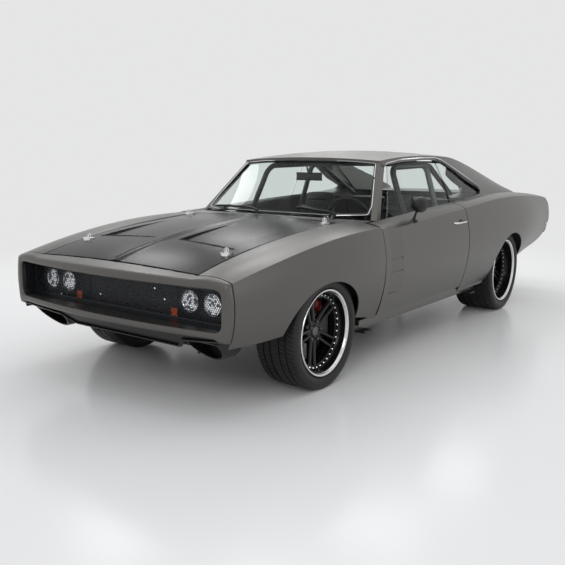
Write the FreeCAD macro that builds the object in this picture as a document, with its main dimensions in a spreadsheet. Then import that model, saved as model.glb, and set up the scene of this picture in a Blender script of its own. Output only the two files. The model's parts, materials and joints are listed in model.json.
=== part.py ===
import FreeCAD, Part
import Sketcher
import math
import os

from FreeCAD import Placement, Rotation, Vector

# A long-nosed two-door muscle car with a loop front bumper, a dark recessed grille with four
# round lamps, a carbon hood with four ring pins, buttressed rear pillars and wide low tyres.
# Frame: +Z up, the nose points to -Y, +X is the car's left, the origin is on the floor below
# the middle of the whole car.  Stations are distances behind the front axle, or behind the
# rear axle for the tail, so a longer wheelbase moves everything behind it.

SIZES = [
    ("front_overhang", 937.0),
    ("wheelbase", 2972.0),
    ("rear_overhang", 1374.0),
    ("front_track", 1514.0),
    ("rear_track", 1480.0),
    ("front_tyre_radius", 335.0),
    ("front_tyre_width", 276.0),
    ("rear_tyre_radius", 358.0),
    ("rear_tyre_width", 345.0),
    ("front_rim_radius", 258.0),
    ("rear_rim_radius", 276.0),
    ("tyre_shoulder", 34.0),
    ("rim_wall", 9.0),
    ("rim_lip", 22.0),
    ("rim_inset", 8.0),
    ("hub_radius", 74.0),
    ("hub_bore", 32.0),
    ("spoke_width", 26.0),
    ("spoke_depth", 34.0),
    ("spoke_pairs", 5.0),
    ("front_disc_radius", 178.0),
    ("rear_disc_radius", 165.0),
    ("disc_thickness", 28.0),
    ("disc_inboard", 20.0),
    ("front_dish", 60.0),
    ("rear_dish", 90.0),
    ("front_hub_out", 58.0),
    ("rear_hub_out", 62.0),
    ("bolt_ring", 34.0),
    ("axle_radius", 26.0),
    ("spin_gap", 0.3),
    ("steer_inset", 70.0),
    ("kingpin_radius", 14.0),
    ("skin", 8.0),
    ("panel_gap", 9.0),
    ("seat_gap", 0.3),
    ("door_front", 612.0),
    ("door_rear", 1985.0),
    ("door_inner", 768.0),
    ("scoop_length", 175.0),
    ("scoop_depth", 5.0),
    ("door_bottom", 338.0),
    ("door_pivot_x", 910.0),
    ("door_pivot_behind", 55.0),
    ("pivot_radius", 8.0),
    ("hood_front", -806.0),
    ("hood_rear", 508.0),
    ("hood_half_width", 627.0),
    ("hood_thickness", 16.0),
    ("hood_recess", 9.0),
    ("spine_height", 8.0),
    ("hood_pivot_below", 50.0),
    ("hood_pivot_ahead", 56.0),
    ("hood_lug_x", 540.0),
    ("cowl_thickness", 5.0),
    ("trunk_front", 340.0),
    ("trunk_rear", 1118.0),
    ("trunk_half_width", 550.0),
    ("trunk_thickness", 18.0),
    ("trunk_pivot_below", 50.0),
    ("trunk_pivot_behind", 62.0),
    ("trunk_lug_x", 480.0),
    ("deck_thickness", 6.0),
    ("front_arch_half", 390.0),
    ("front_arch_top", 642.0),
    ("front_arch_lead", 25.0),
    ("rear_arch_half", 372.0),
    ("rear_arch_top", 700.0),
    ("rear_arch_lead", 0.0),
    ("sill_bottom", 296.0),
    ("sill_top", 330.0),
    ("sill_outer", 864.0),
    ("sill_inner", 790.0),
    ("floor_bottom", 236.0),
    ("floor_thickness", 14.0),
    ("firewall_behind", 470.0),
    ("cabin_rear_ahead", 532.0),
    ("wheelhouse_gap", 38.0),
    ("roof_thickness", 22.0),
    ("glass_thickness", 5.0),
    ("lamp_radius", 60.0),
    ("lamp_depth", 44.0),
    ("lamp_inner_x", 500.0),
    ("lamp_outer_x", 658.0),
    ("lamp_height", 586.0),
    ("grille_behind", -752.0),
    ("grille_thickness", 8.0),
    ("grille_bar", 5.0),
    ("grille_pitch", 62.0),
    ("nose_rear", -815.0),
    ("nose_bow", 105.0),
    ("nose_border_above", 32.0),
    ("nose_border_side", 42.0),
    ("nose_border_below", 40.0),
    ("mouth_height", 206.0),
    ("mouth_round", 34.0),
    ("valance_depth", 116.0),
    ("support_panel", 8.0),
    ("bumper_thickness", 14.0),
    ("engine_width", 500.0),
    ("engine_ahead", 230.0),
    ("engine_behind", 400.0),
    ("engine_bottom", 330.0),
    ("engine_top", 780.0),
    ("radiator_width", 740.0),
    ("radiator_depth", 60.0),
    ("cage_tube", 22.0),
    ("steering_wheel_radius", 178.0),
    ("steering_rim_tube", 14.0),
    ("mirror_radius", 56.0),
    ("tow_bore", 14.0),
    ("tow_plate", 14.0),
]

doc = FreeCAD.newDocument("muscle_car")
sheet = doc.addObject("Spreadsheet::Sheet", "sizes")
for row, (alias, value) in enumerate(SIZES, start=1):
    sheet.set("A%d" % row, alias)
    sheet.set("B%d" % row, str(value))
    sheet.setAlias("B%d" % row, alias)
DERIVED = [
    ("front_axle_y", "=(front_overhang - wheelbase - rear_overhang) / 2"),
    ("rear_axle_y", "=front_axle_y + wheelbase"),
]
for row, (alias, formula) in enumerate(DERIVED, start=len(SIZES) + 1):
    sheet.set("A%d" % row, alias)
    sheet.set("B%d" % row, formula)
    sheet.setAlias("B%d" % row, alias)
doc.recompute()


def size(alias):
    return float(sheet.get(alias))


FRONT_AXLE = size("front_axle_y")
REAR_AXLE = size("rear_axle_y")
AXLES = {"front": FRONT_AXLE, "rear": REAR_AXLE}
NODES = []


def keep(label, thing):
    """Register a finished sub-part under the name of its file."""
    thing.Label = label
    NODES.append(thing)
    return thing


def behind_front(distance):
    return FRONT_AXLE + distance


def behind_rear(distance):
    return REAR_AXLE + distance


def shaped(label, shape):
    """A sub-part whose form comes from surface modelling rather than from simple features."""
    thing = doc.addObject("Part::Feature", label)
    thing.Shape = shape
    thing.Placement = Placement()
    return keep(label, thing)


def mirrored(shape):
    return shape.mirror(Vector(0, 0, 0), Vector(1, 0, 0))


def pair(shape):
    return Part.makeCompound([shape, mirrored(shape)])


def arc(first, middle, last):
    return Part.Arc(first, middle, last).toShape()


def line(first, last):
    return Part.LineSegment(first, last).toShape()


def block(x0, x1, y0, y1, z0, z1):
    return Part.makeBox(x1 - x0, y1 - y0, z1 - z0, Vector(x0, y0, z0))


def rod(first, last, radius):
    along = last - first
    return Part.makeCylinder(radius, along.Length, first, along)


def prism_x(points, x0, x1):
    """A side-view outline of (y, z) points carried across from x0 to x1."""
    corners = [Vector(x0, y, z) for y, z in points]
    face = Part.Face(Part.makePolygon(corners + corners[:1]))
    return face.extrude(Vector(x1 - x0, 0, 0))


def prism_y(points, y0, y1):
    """A front-view outline of (x, z) points carried back from y0 to y1."""
    corners = [Vector(x, y0, z) for x, z in points]
    face = Part.Face(Part.makePolygon(corners + corners[:1]))
    return face.extrude(Vector(0, y1 - y0, 0))


def prism_z(points, z0, z1):
    """A plan outline of (x, y) points carried up from z0 to z1."""
    corners = [Vector(x, y, z0) for x, y in points]
    face = Part.Face(Part.makePolygon(corners + corners[:1]))
    return face.extrude(Vector(0, 0, z1 - z0))


def bent_tube(points, bend, radius):
    """A tube along straight runs joined by tangent arcs."""
    edges = []
    start = points[0]
    for before, corner, after in zip(points, points[1:], points[2:]):
        to_before = (before - corner).normalize()
        to_after = (after - corner).normalize()
        half = to_before.getAngle(to_after) / 2
        leg = bend / math.tan(half)
        first = corner + to_before * leg
        last = corner + to_after * leg
        inward = (to_before + to_after).normalize()
        middle = corner + inward * (bend / math.sin(half) - bend)
        edges.append(line(start, first))
        edges.append(arc(first, middle, last))
        start = last
    edges.append(line(start, points[-1]))
    path = Part.Wire(edges)
    section = Part.Wire(Part.makeCircle(radius, points[0], points[1] - points[0]))
    return path.makePipeShell([section], True, False)


# ---------------------------------------------------------------------------------------------
# Body sides.  Each section runs from the lower edge, out to the widest point, in to the crease
# and over to the top edge; arcs join them.

# axle, behind, low_x, low_z, wide_x, wide_z, crease_x, crease_z, top_x, top_z, crown
FENDER_SECTIONS = [
    ("front", -815, 838, 398, 874, 597, 854, 730, 636, 748, 12),
    ("front", -450, 868, 392, 915, 600, 885, 806, 636, 828, 12),
    ("front", 0, 872, 390, 938, 610, 903, 873, 636, 888, 12),
    ("front", 660, 866, 300, 938, 600, 900, 898, 638, 934, 10),
]
SIDE_SECTIONS = [
    ("front", 540, 866, 300, 940, 600, 904, 902, 805, 924, 6),
    ("front", 850, 866, 300, 934, 600, 893, 890, 800, 941, 6),
    ("front", 1300, 866, 300, 934, 600, 888, 914, 794, 968, 6),
    ("front", 1990, 868, 302, 945, 601, 897, 958, 781, 1002, 6),
    ("rear", -450, 870, 320, 958, 610, 905, 1000, 756, 1022, 8),
    ("rear", 0, 880, 350, 970, 640, 912, 1016, 738, 1036, 8),
    ("rear", 460, 880, 458, 960, 660, 908, 1008, 728, 1036, 8),
    ("rear", 830, 872, 512, 930, 680, 893, 990, 718, 1020, 8),
    ("rear", 1150, 864, 566, 895, 700, 876, 970, 708, 990, 8),
    ("rear", 1400, 852, 590, 878, 714, 866, 900, 696, 918, 6),
]


def side_section(row, thickness, base_inset):
    """One closed section of the body side, thickness measured inward."""
    axle, behind, low_x, low_z, wide_x, wide_z, crease_x, crease_z, top_x, top_z, crown = row
    y = AXLES[axle] + behind
    low = Vector(low_x, y, low_z)
    wide = Vector(wide_x, y, wide_z)
    crease = Vector(crease_x, y, crease_z)
    top = Vector(top_x, y, top_z)
    shoulder = (crease + top) * 0.5 + Vector(0, 0, crown)
    inward = Vector(-thickness, 0, 0)
    tucked = Vector(-thickness, 0, -thickness)
    down = Vector(0, 0, -thickness)
    low_in = low + Vector(-base_inset, 0, 0)
    return Part.Wire([
        arc(low, wide, crease),
        arc(crease, shoulder, top),
        line(top, top + down),
        arc(top + down, shoulder + down, crease + tucked),
        arc(crease + tucked, wide + inward, low_in),
        line(low_in, low),
    ])


def side_skin(rows, thickness):
    return Part.makeLoft([side_section(row, thickness, thickness) for row in rows], True)


def side_block(rows, inner_x, drop):
    """The same outer surface on a body that is solid in to a flat inner face."""
    wires = []
    for axle, behind, low_x, low_z, wide_x, wide_z, crease_x, crease_z, top_x, top_z, crown in rows:
        y = AXLES[axle] + behind
        low = Vector(low_x, y, low_z)
        wide = Vector(wide_x, y, wide_z)
        crease = Vector(crease_x, y, crease_z)
        top = Vector(top_x, y, top_z)
        shoulder = (crease + top) * 0.5 + Vector(0, 0, crown)
        top_in = Vector(inner_x, y, top_z - drop)
        low_in = Vector(inner_x, y, low_z)
        wires.append(Part.Wire([
            arc(low, wide, crease),
            arc(crease, shoulder, top),
            line(top, top_in),
            line(top_in, low_in),
            line(low_in, low),
        ]))
    return Part.makeLoft(wires, True)


def arch_cutter(y, half_width, top, centre_z):
    """An elliptical wheel opening that also cuts everything below the wheel centre."""
    rise = top - centre_z
    disc = Part.makeCylinder(1, 600, Vector(500, 0, 0), Vector(1, 0, 0))
    stretch = FreeCAD.Matrix()
    stretch.scale(1, half_width, rise)
    opening = disc.transformGeometry(stretch)
    opening.translate(Vector(0, y, centre_z))
    below = block(500, 1100, y - half_width, y + half_width, centre_z - 400, centre_z)
    return opening.fuse(below)


front_arch = arch_cutter(behind_front(-size("front_arch_lead")), size("front_arch_half"),
                         size("front_arch_top"), size("front_tyre_radius"))
rear_arch = arch_cutter(behind_rear(-size("rear_arch_lead")), size("rear_arch_half"),
                        size("rear_arch_top"), size("rear_tyre_radius"))
door_front_y = behind_front(size("door_front"))
door_rear_y = behind_front(size("door_rear"))
half_gap = size("panel_gap") / 2

fender = side_skin(FENDER_SECTIONS, size("skin"))
fender = fender.cut(front_arch)
fender = fender.cut(block(500, 1100, door_front_y - half_gap, door_front_y + 60, 0, 1200))
shaped("front_fenders", pair(fender))

# The tail in side view, from the deck's rear edge round to the lower edge.
tail_front_y = behind_rear(1150)
tail_end_y = behind_rear(size("rear_overhang")) - size("bumper_thickness")
TAIL_PROFILE = [
    (tail_front_y, 1004),
    (tail_front_y + 12, 990),
    (tail_front_y + 49, 973),
    (tail_front_y + 172, 903),
    (tail_end_y - 15, 824),
    (tail_end_y, 738),
    (tail_end_y - 44, 643),
    (tail_end_y - 132, 588),
    (tail_front_y, 566),
]
past_tail = TAIL_PROFILE + [(tail_front_y, 200), (tail_end_y + 300, 200), (tail_end_y + 300, 1300),
                            (tail_front_y, 1300)]

quarter = side_skin(SIDE_SECTIONS, size("skin"))
quarter = quarter.cut(rear_arch)
quarter = quarter.cut(prism_x(past_tail, 500, 1100))
quarter = quarter.cut(block(500, 1100, door_front_y - 120, door_rear_y + half_gap, 0, 1300))
shaped("quarter_panels", pair(quarter))

# ---------------------------------------------------------------------------------------------
# Doors: one thick panel a side with a frameless glass, a pull handle and a round mirror.

door_inner_x = size("door_inner")
door = side_block(SIDE_SECTIONS[:5], door_inner_x, 22)
door = door.common(block(500, 1100, door_front_y + half_gap, door_rear_y - half_gap,
                         size("door_bottom"), 1300))
pivot_y = door_front_y + half_gap + size("door_pivot_behind")
pivot_x = size("door_pivot_x")
pivot_heights = (520.0, 740.0)
arm_half = 10.0
pin_reach = 26.0
for z in pivot_heights:
    pocket = block(500, pivot_x + 16, door_front_y, pivot_y + 22, z - arm_half - 6, z + arm_half + 6)
    bore = Part.makeCylinder(size("pivot_radius") + size("spin_gap"), 2 * (arm_half + pin_reach) + 4,
                             Vector(pivot_x, pivot_y, z - arm_half - pin_reach - 2))
    door = door.cut(pocket).cut(bore)
# The pressed scoop behind the door's front edge: deepest in front, fading out behind, with two flutes.
scoop_front_y = door_front_y + 78
scoop_rear_y = scoop_front_y + size("scoop_length")
scoop_turn = math.degrees(size("scoop_depth") / size("scoop_length"))
scoop_z = (467, 900)
flute_heights = (612, 695)


def pressed_in(depth, z0, z1):
    """What lies outside the door's skin once that is swung in by depth at the scoop's front edge."""
    floor_of_scoop = side_block(SIDE_SECTIONS[:4], door_inner_x - 40, 0)
    floor_of_scoop.translate(Vector(size("scoop_depth") - depth, 0, 0))
    floor_of_scoop.rotate(Vector(900, scoop_rear_y + 12, 0), Vector(0, 0, 1), -scoop_turn)
    return block(850, 1000, scoop_front_y, scoop_rear_y, z0, z1).cut(floor_of_scoop)


door = door.cut(pressed_in(size("scoop_depth"), *scoop_z))
for z in flute_heights:
    door = door.cut(pressed_in(size("scoop_depth") + 3, z - 4, z + 4))
shaped("door_left", door)
shaped("door_right", mirrored(door))

hinge_wall_x = door_inner_x - 46
hinges = []
for z in pivot_heights:
    arm = block(hinge_wall_x, pivot_x + 10, pivot_y - 12, pivot_y + 12, z - arm_half, z + arm_half)
    pin = Part.makeCylinder(size("pivot_radius"), 2 * (arm_half + pin_reach),
                            Vector(pivot_x, pivot_y, z - arm_half - pin_reach))
    hinges.append(arm.fuse(pin))
floor_top = size("floor_bottom") + size("floor_thickness")
post = block(hinge_wall_x - 40, hinge_wall_x, pivot_y - 60, pivot_y + 40, floor_top, 900)
for arm in hinges:
    post = post.fuse(arm)
door_hinge = post

# ---------------------------------------------------------------------------------------------
# Greenhouse: one curved shell for the roof and the rails, two buttresses that run down to the
# deck behind it, and the two slim front pillars.

# axle, behind, belt_x, belt_z, rail_x, rail_z, centre_z, bulge
ROOF_SECTIONS = [
    ("front", 1040, 797, 955, 594, 1306, 1338, 8),
    ("front", 1400, 792, 975, 604, 1346, 1385, 9),
    ("front", 1750, 786, 990, 606, 1360, 1400, 10),
    ("front", 2050, 778, 1003, 603, 1362, 1399, 10),
    ("rear", -610, 762, 1014, 598, 1348, 1377, 10),
]
# axle, behind, belt_x, belt_z, rail_x, rail_z, bulge, inner_x, foot_z
SAIL_SECTIONS = [
    ("rear", -610, 762, 1014, 598, 1348, 10, 560, 1006),
    ("rear", -270, 748, 1024, 600, 1290, 10, 560, 1014),
    ("rear", 60, 736, 1032, 606, 1216, 9, 566, 1020),
    ("rear", 400, 729, 1034, 618, 1134, 7, 580, 1020),
    ("rear", 690, 722, 1026, 640, 1064, 4, 612, 1010),
]


def roof_section(row, thickness):
    axle, behind, belt_x, belt_z, rail_x, rail_z, centre_z, bulge = row
    y = AXLES[axle] + behind
    belt = Vector(belt_x, y, belt_z)
    rail = Vector(rail_x, y, rail_z)
    side = (belt + rail) * 0.5 + Vector(bulge, 0, bulge * 0.5)
    crown = Vector(0, y, centre_z)
    inward = Vector(-thickness, 0, 0)
    corner = Vector(-thickness, 0, -thickness)
    down = Vector(0, 0, -thickness)

    def flip(point):
        return Vector(-point.x, point.y, point.z)

    return Part.Wire([
        arc(belt, side, rail),
        arc(rail, crown, flip(rail)),
        arc(flip(rail), flip(side), flip(belt)),
        line(flip(belt), flip(belt + inward)),
        arc(flip(belt + inward), flip(side + inward), flip(rail + corner)),
        arc(flip(rail + corner), crown + down, rail + corner),
        arc(rail + corner, side + inward, belt + inward),
        line(belt + inward, belt),
    ])


def sail_section(row):
    axle, behind, belt_x, belt_z, rail_x, rail_z, bulge, inner_x, foot_z = row
    y = AXLES[axle] + behind
    belt = Vector(belt_x, y, belt_z)
    rail = Vector(rail_x, y, rail_z)
    side = (belt + rail) * 0.5 + Vector(bulge, 0, bulge * 0.5)
    inner_top = Vector(inner_x, y, rail_z - 12)
    foot = Vector(inner_x - 10, y, foot_z)
    outer_foot = Vector(belt_x, y, foot_z)
    return Part.Wire([
        arc(belt, side, rail),
        line(rail, inner_top),
        line(inner_top, foot),
        line(foot, outer_foot),
        line(outer_foot, belt),
    ])


window_rim = 34.0
side_window = [
    (behind_front(900), 900),
    (behind_front(900), 1240),
    (behind_front(1120), 1319 - window_rim),
    (behind_front(1400), 1346 - window_rim),
    (behind_front(1750), 1360 - window_rim),
    (behind_front(1960), 1328),
    (behind_front(2110), 1305),
    (behind_front(2310), 1226),
    (behind_front(2480), 1157),
    (behind_front(2740), 1078),
    (behind_front(2700), 1046),
    (behind_front(2300), 1014),
    (behind_front(1930), 940),
]
window_cutter = prism_x(side_window, -1000, 1000)

roof = Part.makeLoft([roof_section(row, size("roof_thickness")) for row in ROOF_SECTIONS], True)
# The header follows the bow of the windshield's head.
header_side = 1126
header_centre = 1056
ahead_of_header = Part.Face(Part.Wire([
    arc(Vector(-620, behind_front(header_side), 800), Vector(0, behind_front(header_centre), 800),
        Vector(620, behind_front(header_side), 800)),
    line(Vector(620, behind_front(header_side), 800), Vector(1000, behind_front(header_side), 800)),
    line(Vector(1000, behind_front(header_side), 800), Vector(1000, behind_front(900), 800)),
    line(Vector(1000, behind_front(900), 800), Vector(-1000, behind_front(900), 800)),
    line(Vector(-1000, behind_front(900), 800), Vector(-1000, behind_front(header_side), 800)),
    line(Vector(-1000, behind_front(header_side), 800), Vector(-620, behind_front(header_side), 800)),
])).extrude(Vector(0, 0, 700))
roof = roof.cut(window_cutter).cut(ahead_of_header)
shaped("roof_panel", roof)

sail = Part.makeLoft([sail_section(row) for row in SAIL_SECTIONS], True)
sail = sail.cut(window_cutter).cut(quarter)

# x, behind the front axle, height, width and depth of each end of a front pillar
PILLAR_ENDS = [
    (762, 788, 928, 34, 56),
    (594, 1136, 1318, 30, 60),
]


def pillar_section(x, behind, z, wide, deep):
    y = behind_front(behind)
    corners = [Vector(x, y + deep, z), Vector(x + 4, y, z), Vector(x - wide, y - 12, z),
               Vector(x - wide - 6, y + deep - 12, z)]
    return Part.makePolygon(corners + corners[:1])


pillar = Part.makeLoft([pillar_section(*end) for end in PILLAR_ENDS], True, True).cut(roof)
pillar = sorted(pillar.Solids, key=lambda piece: -piece.Volume)[0]
shaped("roof_pillars", Part.makeCompound([pillar, mirrored(pillar), sail, mirrored(sail)]))

# ---------------------------------------------------------------------------------------------
# Hood, cowl and deck surfaces: crowned sections between two edges.

# axle, behind, edge_x, edge_z, centre_z
HOOD_SECTIONS = [
    ("front", -815, 627, 747, 762),
    ("front", -500, 627, 820, 838),
    ("front", 0, 627, 886, 906),
    ("front", 520, 627, 925, 946),
]
COWL_SECTIONS = [
    ("front", 517, 759, 917, 946),
    ("front", 680, 759, 928, 956),
    ("front", 850, 759, 938, 964),
]
DECK_SECTIONS = [
    ("rear", -300, 744, 1024, 1034),
    ("rear", 0, 737, 1034, 1044),
    ("rear", 460, 727, 1034, 1044),
    ("rear", 830, 717, 1018, 1027),
    ("rear", 1150, 707, 988, 995),
]


def crowned_sheet(rows, lower_by, thickness):
    wires = []
    for axle, behind, edge_x, edge_z, centre_z in rows:
        y = AXLES[axle] + behind
        left = Vector(edge_x, y, edge_z - lower_by)
        right = Vector(-edge_x, y, edge_z - lower_by)
        top = Vector(0, y, centre_z - lower_by)
        down = Vector(0, 0, -thickness)
        wires.append(Part.Wire([
            arc(left, top, right),
            line(right, right + down),
            arc(right + down, top + down, left + down),
            line(left + down, left),
        ]))
    return Part.makeLoft(wires, True)


hood_half = size("hood_half_width")
hood_front_y = behind_front(size("hood_front"))
hood_rear_y = behind_front(size("hood_rear"))
hood = crowned_sheet(HOOD_SECTIONS, 0, size("hood_thickness"))
hood = hood.common(block(-900, 900, hood_front_y, hood_rear_y, 600, 1100))
below_recess = crowned_sheet(HOOD_SECTIONS, size("hood_recess"), 200)
recess_front_y = behind_front(-430)
recess_rear_y = behind_front(380)
recess_plan = [(110, recess_front_y + 30), (540, recess_front_y), (500, recess_rear_y), (130, recess_rear_y)]
recess = prism_z(recess_plan, 700, 1100).cut(below_recess)
hood = hood.cut(recess).cut(mirrored(recess))
spine_half = 42.0
spine_sections = []
for axle, behind, edge_x, edge_z, centre_z in HOOD_SECTIONS:
    y = AXLES[axle] + behind
    spine_sections.append(Part.makePolygon([
        Vector(-spine_half, y, centre_z - 4), Vector(0, y, centre_z + size("spine_height")),
        Vector(spine_half, y, centre_z - 4), Vector(-spine_half, y, centre_z - 4)]))
spine = Part.makeLoft(spine_sections, True, True)
hood = hood.fuse(spine.common(block(-900, 900, hood_front_y, hood_rear_y, 600, 1100)))
hood_pivot_y = hood_rear_y - size("hood_pivot_ahead")
hood_top_z = HOOD_SECTIONS[-1][4]
hood_pivot_z = hood_top_z - size("hood_pivot_below")
hood_lug_x = size("hood_lug_x")
lug_half = 6.0
lug = block(hood_lug_x - lug_half, hood_lug_x + lug_half, hood_pivot_y - 20, hood_pivot_y + 20,
            hood_pivot_z - 18, hood_pivot_z + 44)
lug = lug.cut(crowned_sheet(HOOD_SECTIONS, 0, size("hood_thickness")))
lug_bore = rod(Vector(hood_lug_x - 40, hood_pivot_y, hood_pivot_z),
               Vector(hood_lug_x + 40, hood_pivot_y, hood_pivot_z),
               size("pivot_radius") + size("spin_gap"))
lug = lug.cut(lug_bore)
hood = hood.fuse([lug, mirrored(lug)])
shaped("hood", hood)

firewall_y = behind_front(size("firewall_behind"))
hinge_tab_x = 646.0


def side_hinge(lug_x, tab_x, pivot_y, pivot_z, carrier_z):
    """A pin through a lid's lug, carried by a tab that hangs from the panel beside the lid."""
    pin = rod(Vector(lug_x - lug_half - 6, pivot_y, pivot_z), Vector(tab_x, pivot_y, pivot_z),
              size("pivot_radius"))
    tab = block(tab_x - 7, tab_x + 7, pivot_y - 16, pivot_y + 16, pivot_z - 14, carrier_z)
    return pin.fuse(tab)


hood_hinge = side_hinge(hood_lug_x, hinge_tab_x, hood_pivot_y, hood_pivot_z, hood_pivot_z + 29).cut(fender)
hood_hinge = sorted(hood_hinge.Solids, key=lambda piece: -piece.Volume)[0]

pins = []
for x, behind, z in ((568, -518, 806), (584, 432, 910)):
    y = behind_front(behind)
    washer = Part.makeCylinder(37, 22, Vector(x, y, z))
    stud = Part.makeCylinder(7, 40, Vector(x, y, z))
    pins.append(washer.fuse(stud).cut(crowned_sheet(HOOD_SECTIONS, 0, 100)))
hood_pins = Part.makeCompound(pins + [mirrored(pin) for pin in pins])
shaped("hood_pins", hood_pins)

# The windshield leans back between two arcs, one at the cowl and one at the roof.
glass_foot_z = 946.0
glass_head_z = 1314.0


def bowed_band(z, half, side_behind, centre_behind, depth):
    """A horizontal band between two arcs, closed at its ends."""
    side_y = behind_front(side_behind)
    centre_y = behind_front(centre_behind)
    outer = arc(Vector(-half, side_y, z), Vector(0, centre_y, z), Vector(half, side_y, z))
    inner = arc(Vector(half, side_y + depth, z), Vector(0, centre_y + depth, z),
                Vector(-half, side_y + depth, z))
    return Part.Wire([
        outer,
        line(Vector(half, side_y, z), Vector(half, side_y + depth, z)),
        inner,
        line(Vector(-half, side_y + depth, z), Vector(-half, side_y, z)),
    ])


def bowed_wedge(foot_z, head_z, depth, foot_half, head_half, ahead):
    foot = bowed_band(foot_z, foot_half, 806 - ahead, 550 - ahead, depth)
    head = bowed_band(head_z, head_half, 1134 - ahead, 1064 - ahead, depth)
    return Part.makeLoft([foot, head], True, True)


windshield = bowed_wedge(glass_foot_z, glass_head_z, 7, 738, 562, 0).cut(pair(pillar)).cut(roof)

cowl = crowned_sheet(COWL_SECTIONS, 0, size("cowl_thickness"))
behind_glass = bowed_wedge(glass_foot_z, glass_head_z, 2000, 900, 700, 2)
below_glass = Part.Face(bowed_band(glass_foot_z + 1, 900, 806, 550, 2000)).extrude(Vector(0, 0, -200))
cowl = cowl.cut(below_glass).cut(behind_glass)
beside_cowl = block(hood_half + size("panel_gap") / 2, 900, hood_rear_y - 40, door_front_y, 800, 1100)
cowl = cowl.cut(pair(beside_cowl))
shaped("cowl_panel", cowl)

deck_front_y = behind_rear(-184)
deck = crowned_sheet(DECK_SECTIONS, 0, size("deck_thickness"))
deck = deck.common(block(-900, 900, deck_front_y, behind_rear(1150), 900, 1200))
trunk_front_y = behind_rear(size("trunk_front"))
trunk_rear_y = behind_rear(size("trunk_rear"))
trunk_half = size("trunk_half_width")
gap = size("panel_gap")
deck = deck.cut(block(-trunk_half - gap, trunk_half + gap, trunk_front_y - gap, trunk_rear_y + 200,
                      900, 1200))
sail_clearance = sail.copy()
sail_clearance.translate(Vector(-size("seat_gap"), 0, 0))
deck = deck.cut(pair(sail)).cut(pair(sail_clearance))
deck = sorted(deck.Solids, key=lambda piece: -piece.Volume)[0]
shaped("deck_panel", deck)

trunk = crowned_sheet(DECK_SECTIONS, 0, size("trunk_thickness"))
trunk = trunk.common(block(-trunk_half, trunk_half, trunk_front_y, trunk_rear_y, 900, 1200))
trunk_pivot_y = trunk_front_y + size("trunk_pivot_behind")
deck_top_z = DECK_SECTIONS[1][4]
trunk_pivot_z = deck_top_z - size("trunk_pivot_below")
trunk_lug_x = size("trunk_lug_x")
lug = block(trunk_lug_x - lug_half, trunk_lug_x + lug_half, trunk_pivot_y - 20, trunk_pivot_y + 20,
            trunk_pivot_z - 18, trunk_pivot_z + 40)
lug = lug.cut(crowned_sheet(DECK_SECTIONS, 0, size("trunk_thickness")))
lug_bore = rod(Vector(trunk_lug_x - 40, trunk_pivot_y, trunk_pivot_z),
               Vector(trunk_lug_x + 40, trunk_pivot_y, trunk_pivot_z),
               size("pivot_radius") + size("spin_gap"))
lug = lug.cut(lug_bore)
trunk = trunk.fuse([lug, mirrored(lug)])
shaped("trunk_lid", trunk)
deck_tab_x = trunk_half + gap + 22
trunk_hinge = side_hinge(trunk_lug_x, deck_tab_x, trunk_pivot_y, trunk_pivot_z, deck_top_z + 16)
above_deck = crowned_sheet(DECK_SECTIONS, -200, 200 + size("deck_thickness"))
trunk_hinge = trunk_hinge.cut(above_deck).cut(sail)
trunk_hinge = sorted(trunk_hinge.Solids, key=lambda piece: -piece.Volume)[0]
shaped("lid_hinges", Part.makeCompound([hood_hinge, mirrored(hood_hinge), trunk_hinge,
                                        mirrored(trunk_hinge)]))
shaped("door_hinges", pair(door_hinge))

# ---------------------------------------------------------------------------------------------
# Nose: loop bumper round the mouth, mesh, lamps, valance.

nose_rear_y = behind_front(size("nose_rear"))
nose_front_y = behind_front(-size("front_overhang"))
nose_reach = nose_rear_y - nose_front_y + 15
nose_taper = 16.0
nose_drop = 26.0
brow_x, brow_z = FENDER_SECTIONS[0][6:8]
mouth_half = brow_x - size("nose_border_side")
mouth_top = FENDER_SECTIONS[0][9] - nose_drop - size("nose_border_above")
mouth_bottom = mouth_top - size("mouth_height")
nose_bottom = mouth_bottom - size("nose_border_below")
lip_end_z = nose_bottom - 16


def nose_outline(y, taper, drop):
    """The first sections of fenders and hood as one closed outline."""
    low_x, low_z, wide_x, wide_z, crease_x, crease_z, top_x, top_z, crown = FENDER_SECTIONS[0][2:]
    low = Vector(low_x - taper, y, low_z)
    wide = Vector(wide_x - taper, y, wide_z)
    crease = Vector(crease_x - taper, y, crease_z - drop)
    top = Vector(top_x - taper, y, top_z - drop)
    shoulder = (crease + top) * 0.5 + Vector(0, 0, crown)
    centre = Vector(0, y, HOOD_SECTIONS[0][4] - drop)

    def flip(point):
        return Vector(-point.x, point.y, point.z)

    return Part.Wire([
        arc(low, wide, crease),
        arc(crease, shoulder, top),
        arc(top, centre, flip(top)),
        arc(flip(top), flip(shoulder), flip(crease)),
        arc(flip(crease), flip(wide), flip(low)),
        line(flip(low), low),
    ])


BOW_SPAN = 950.0


def bow_front(extra):
    """Everything behind the bowed front line of the car, moved forward by extra."""
    side = Vector(BOW_SPAN, nose_front_y + size("nose_bow") - extra, 0)
    centre = Vector(0, nose_front_y - extra, 0)
    other = Vector(-BOW_SPAN, side.y, 0)
    back = Vector(0, 2500, 0)
    outline = Part.Wire([
        arc(side, centre, other),
        line(other, other + back),
        line(other + back, side + back),
        line(side + back, side),
    ])
    return Part.Face(outline).extrude(Vector(0, 0, 1300))


def rounded_slot(half, low, high, radius, y0, y1):
    """A wide front-view opening with round ends."""
    slab = block(-half, half, y0, y1, low, high)
    long_edges = [edge for edge in slab.Edges if abs(edge.BoundBox.YLength - (y1 - y0)) < 1]
    return slab.makeFillet(radius, long_edges)


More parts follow.
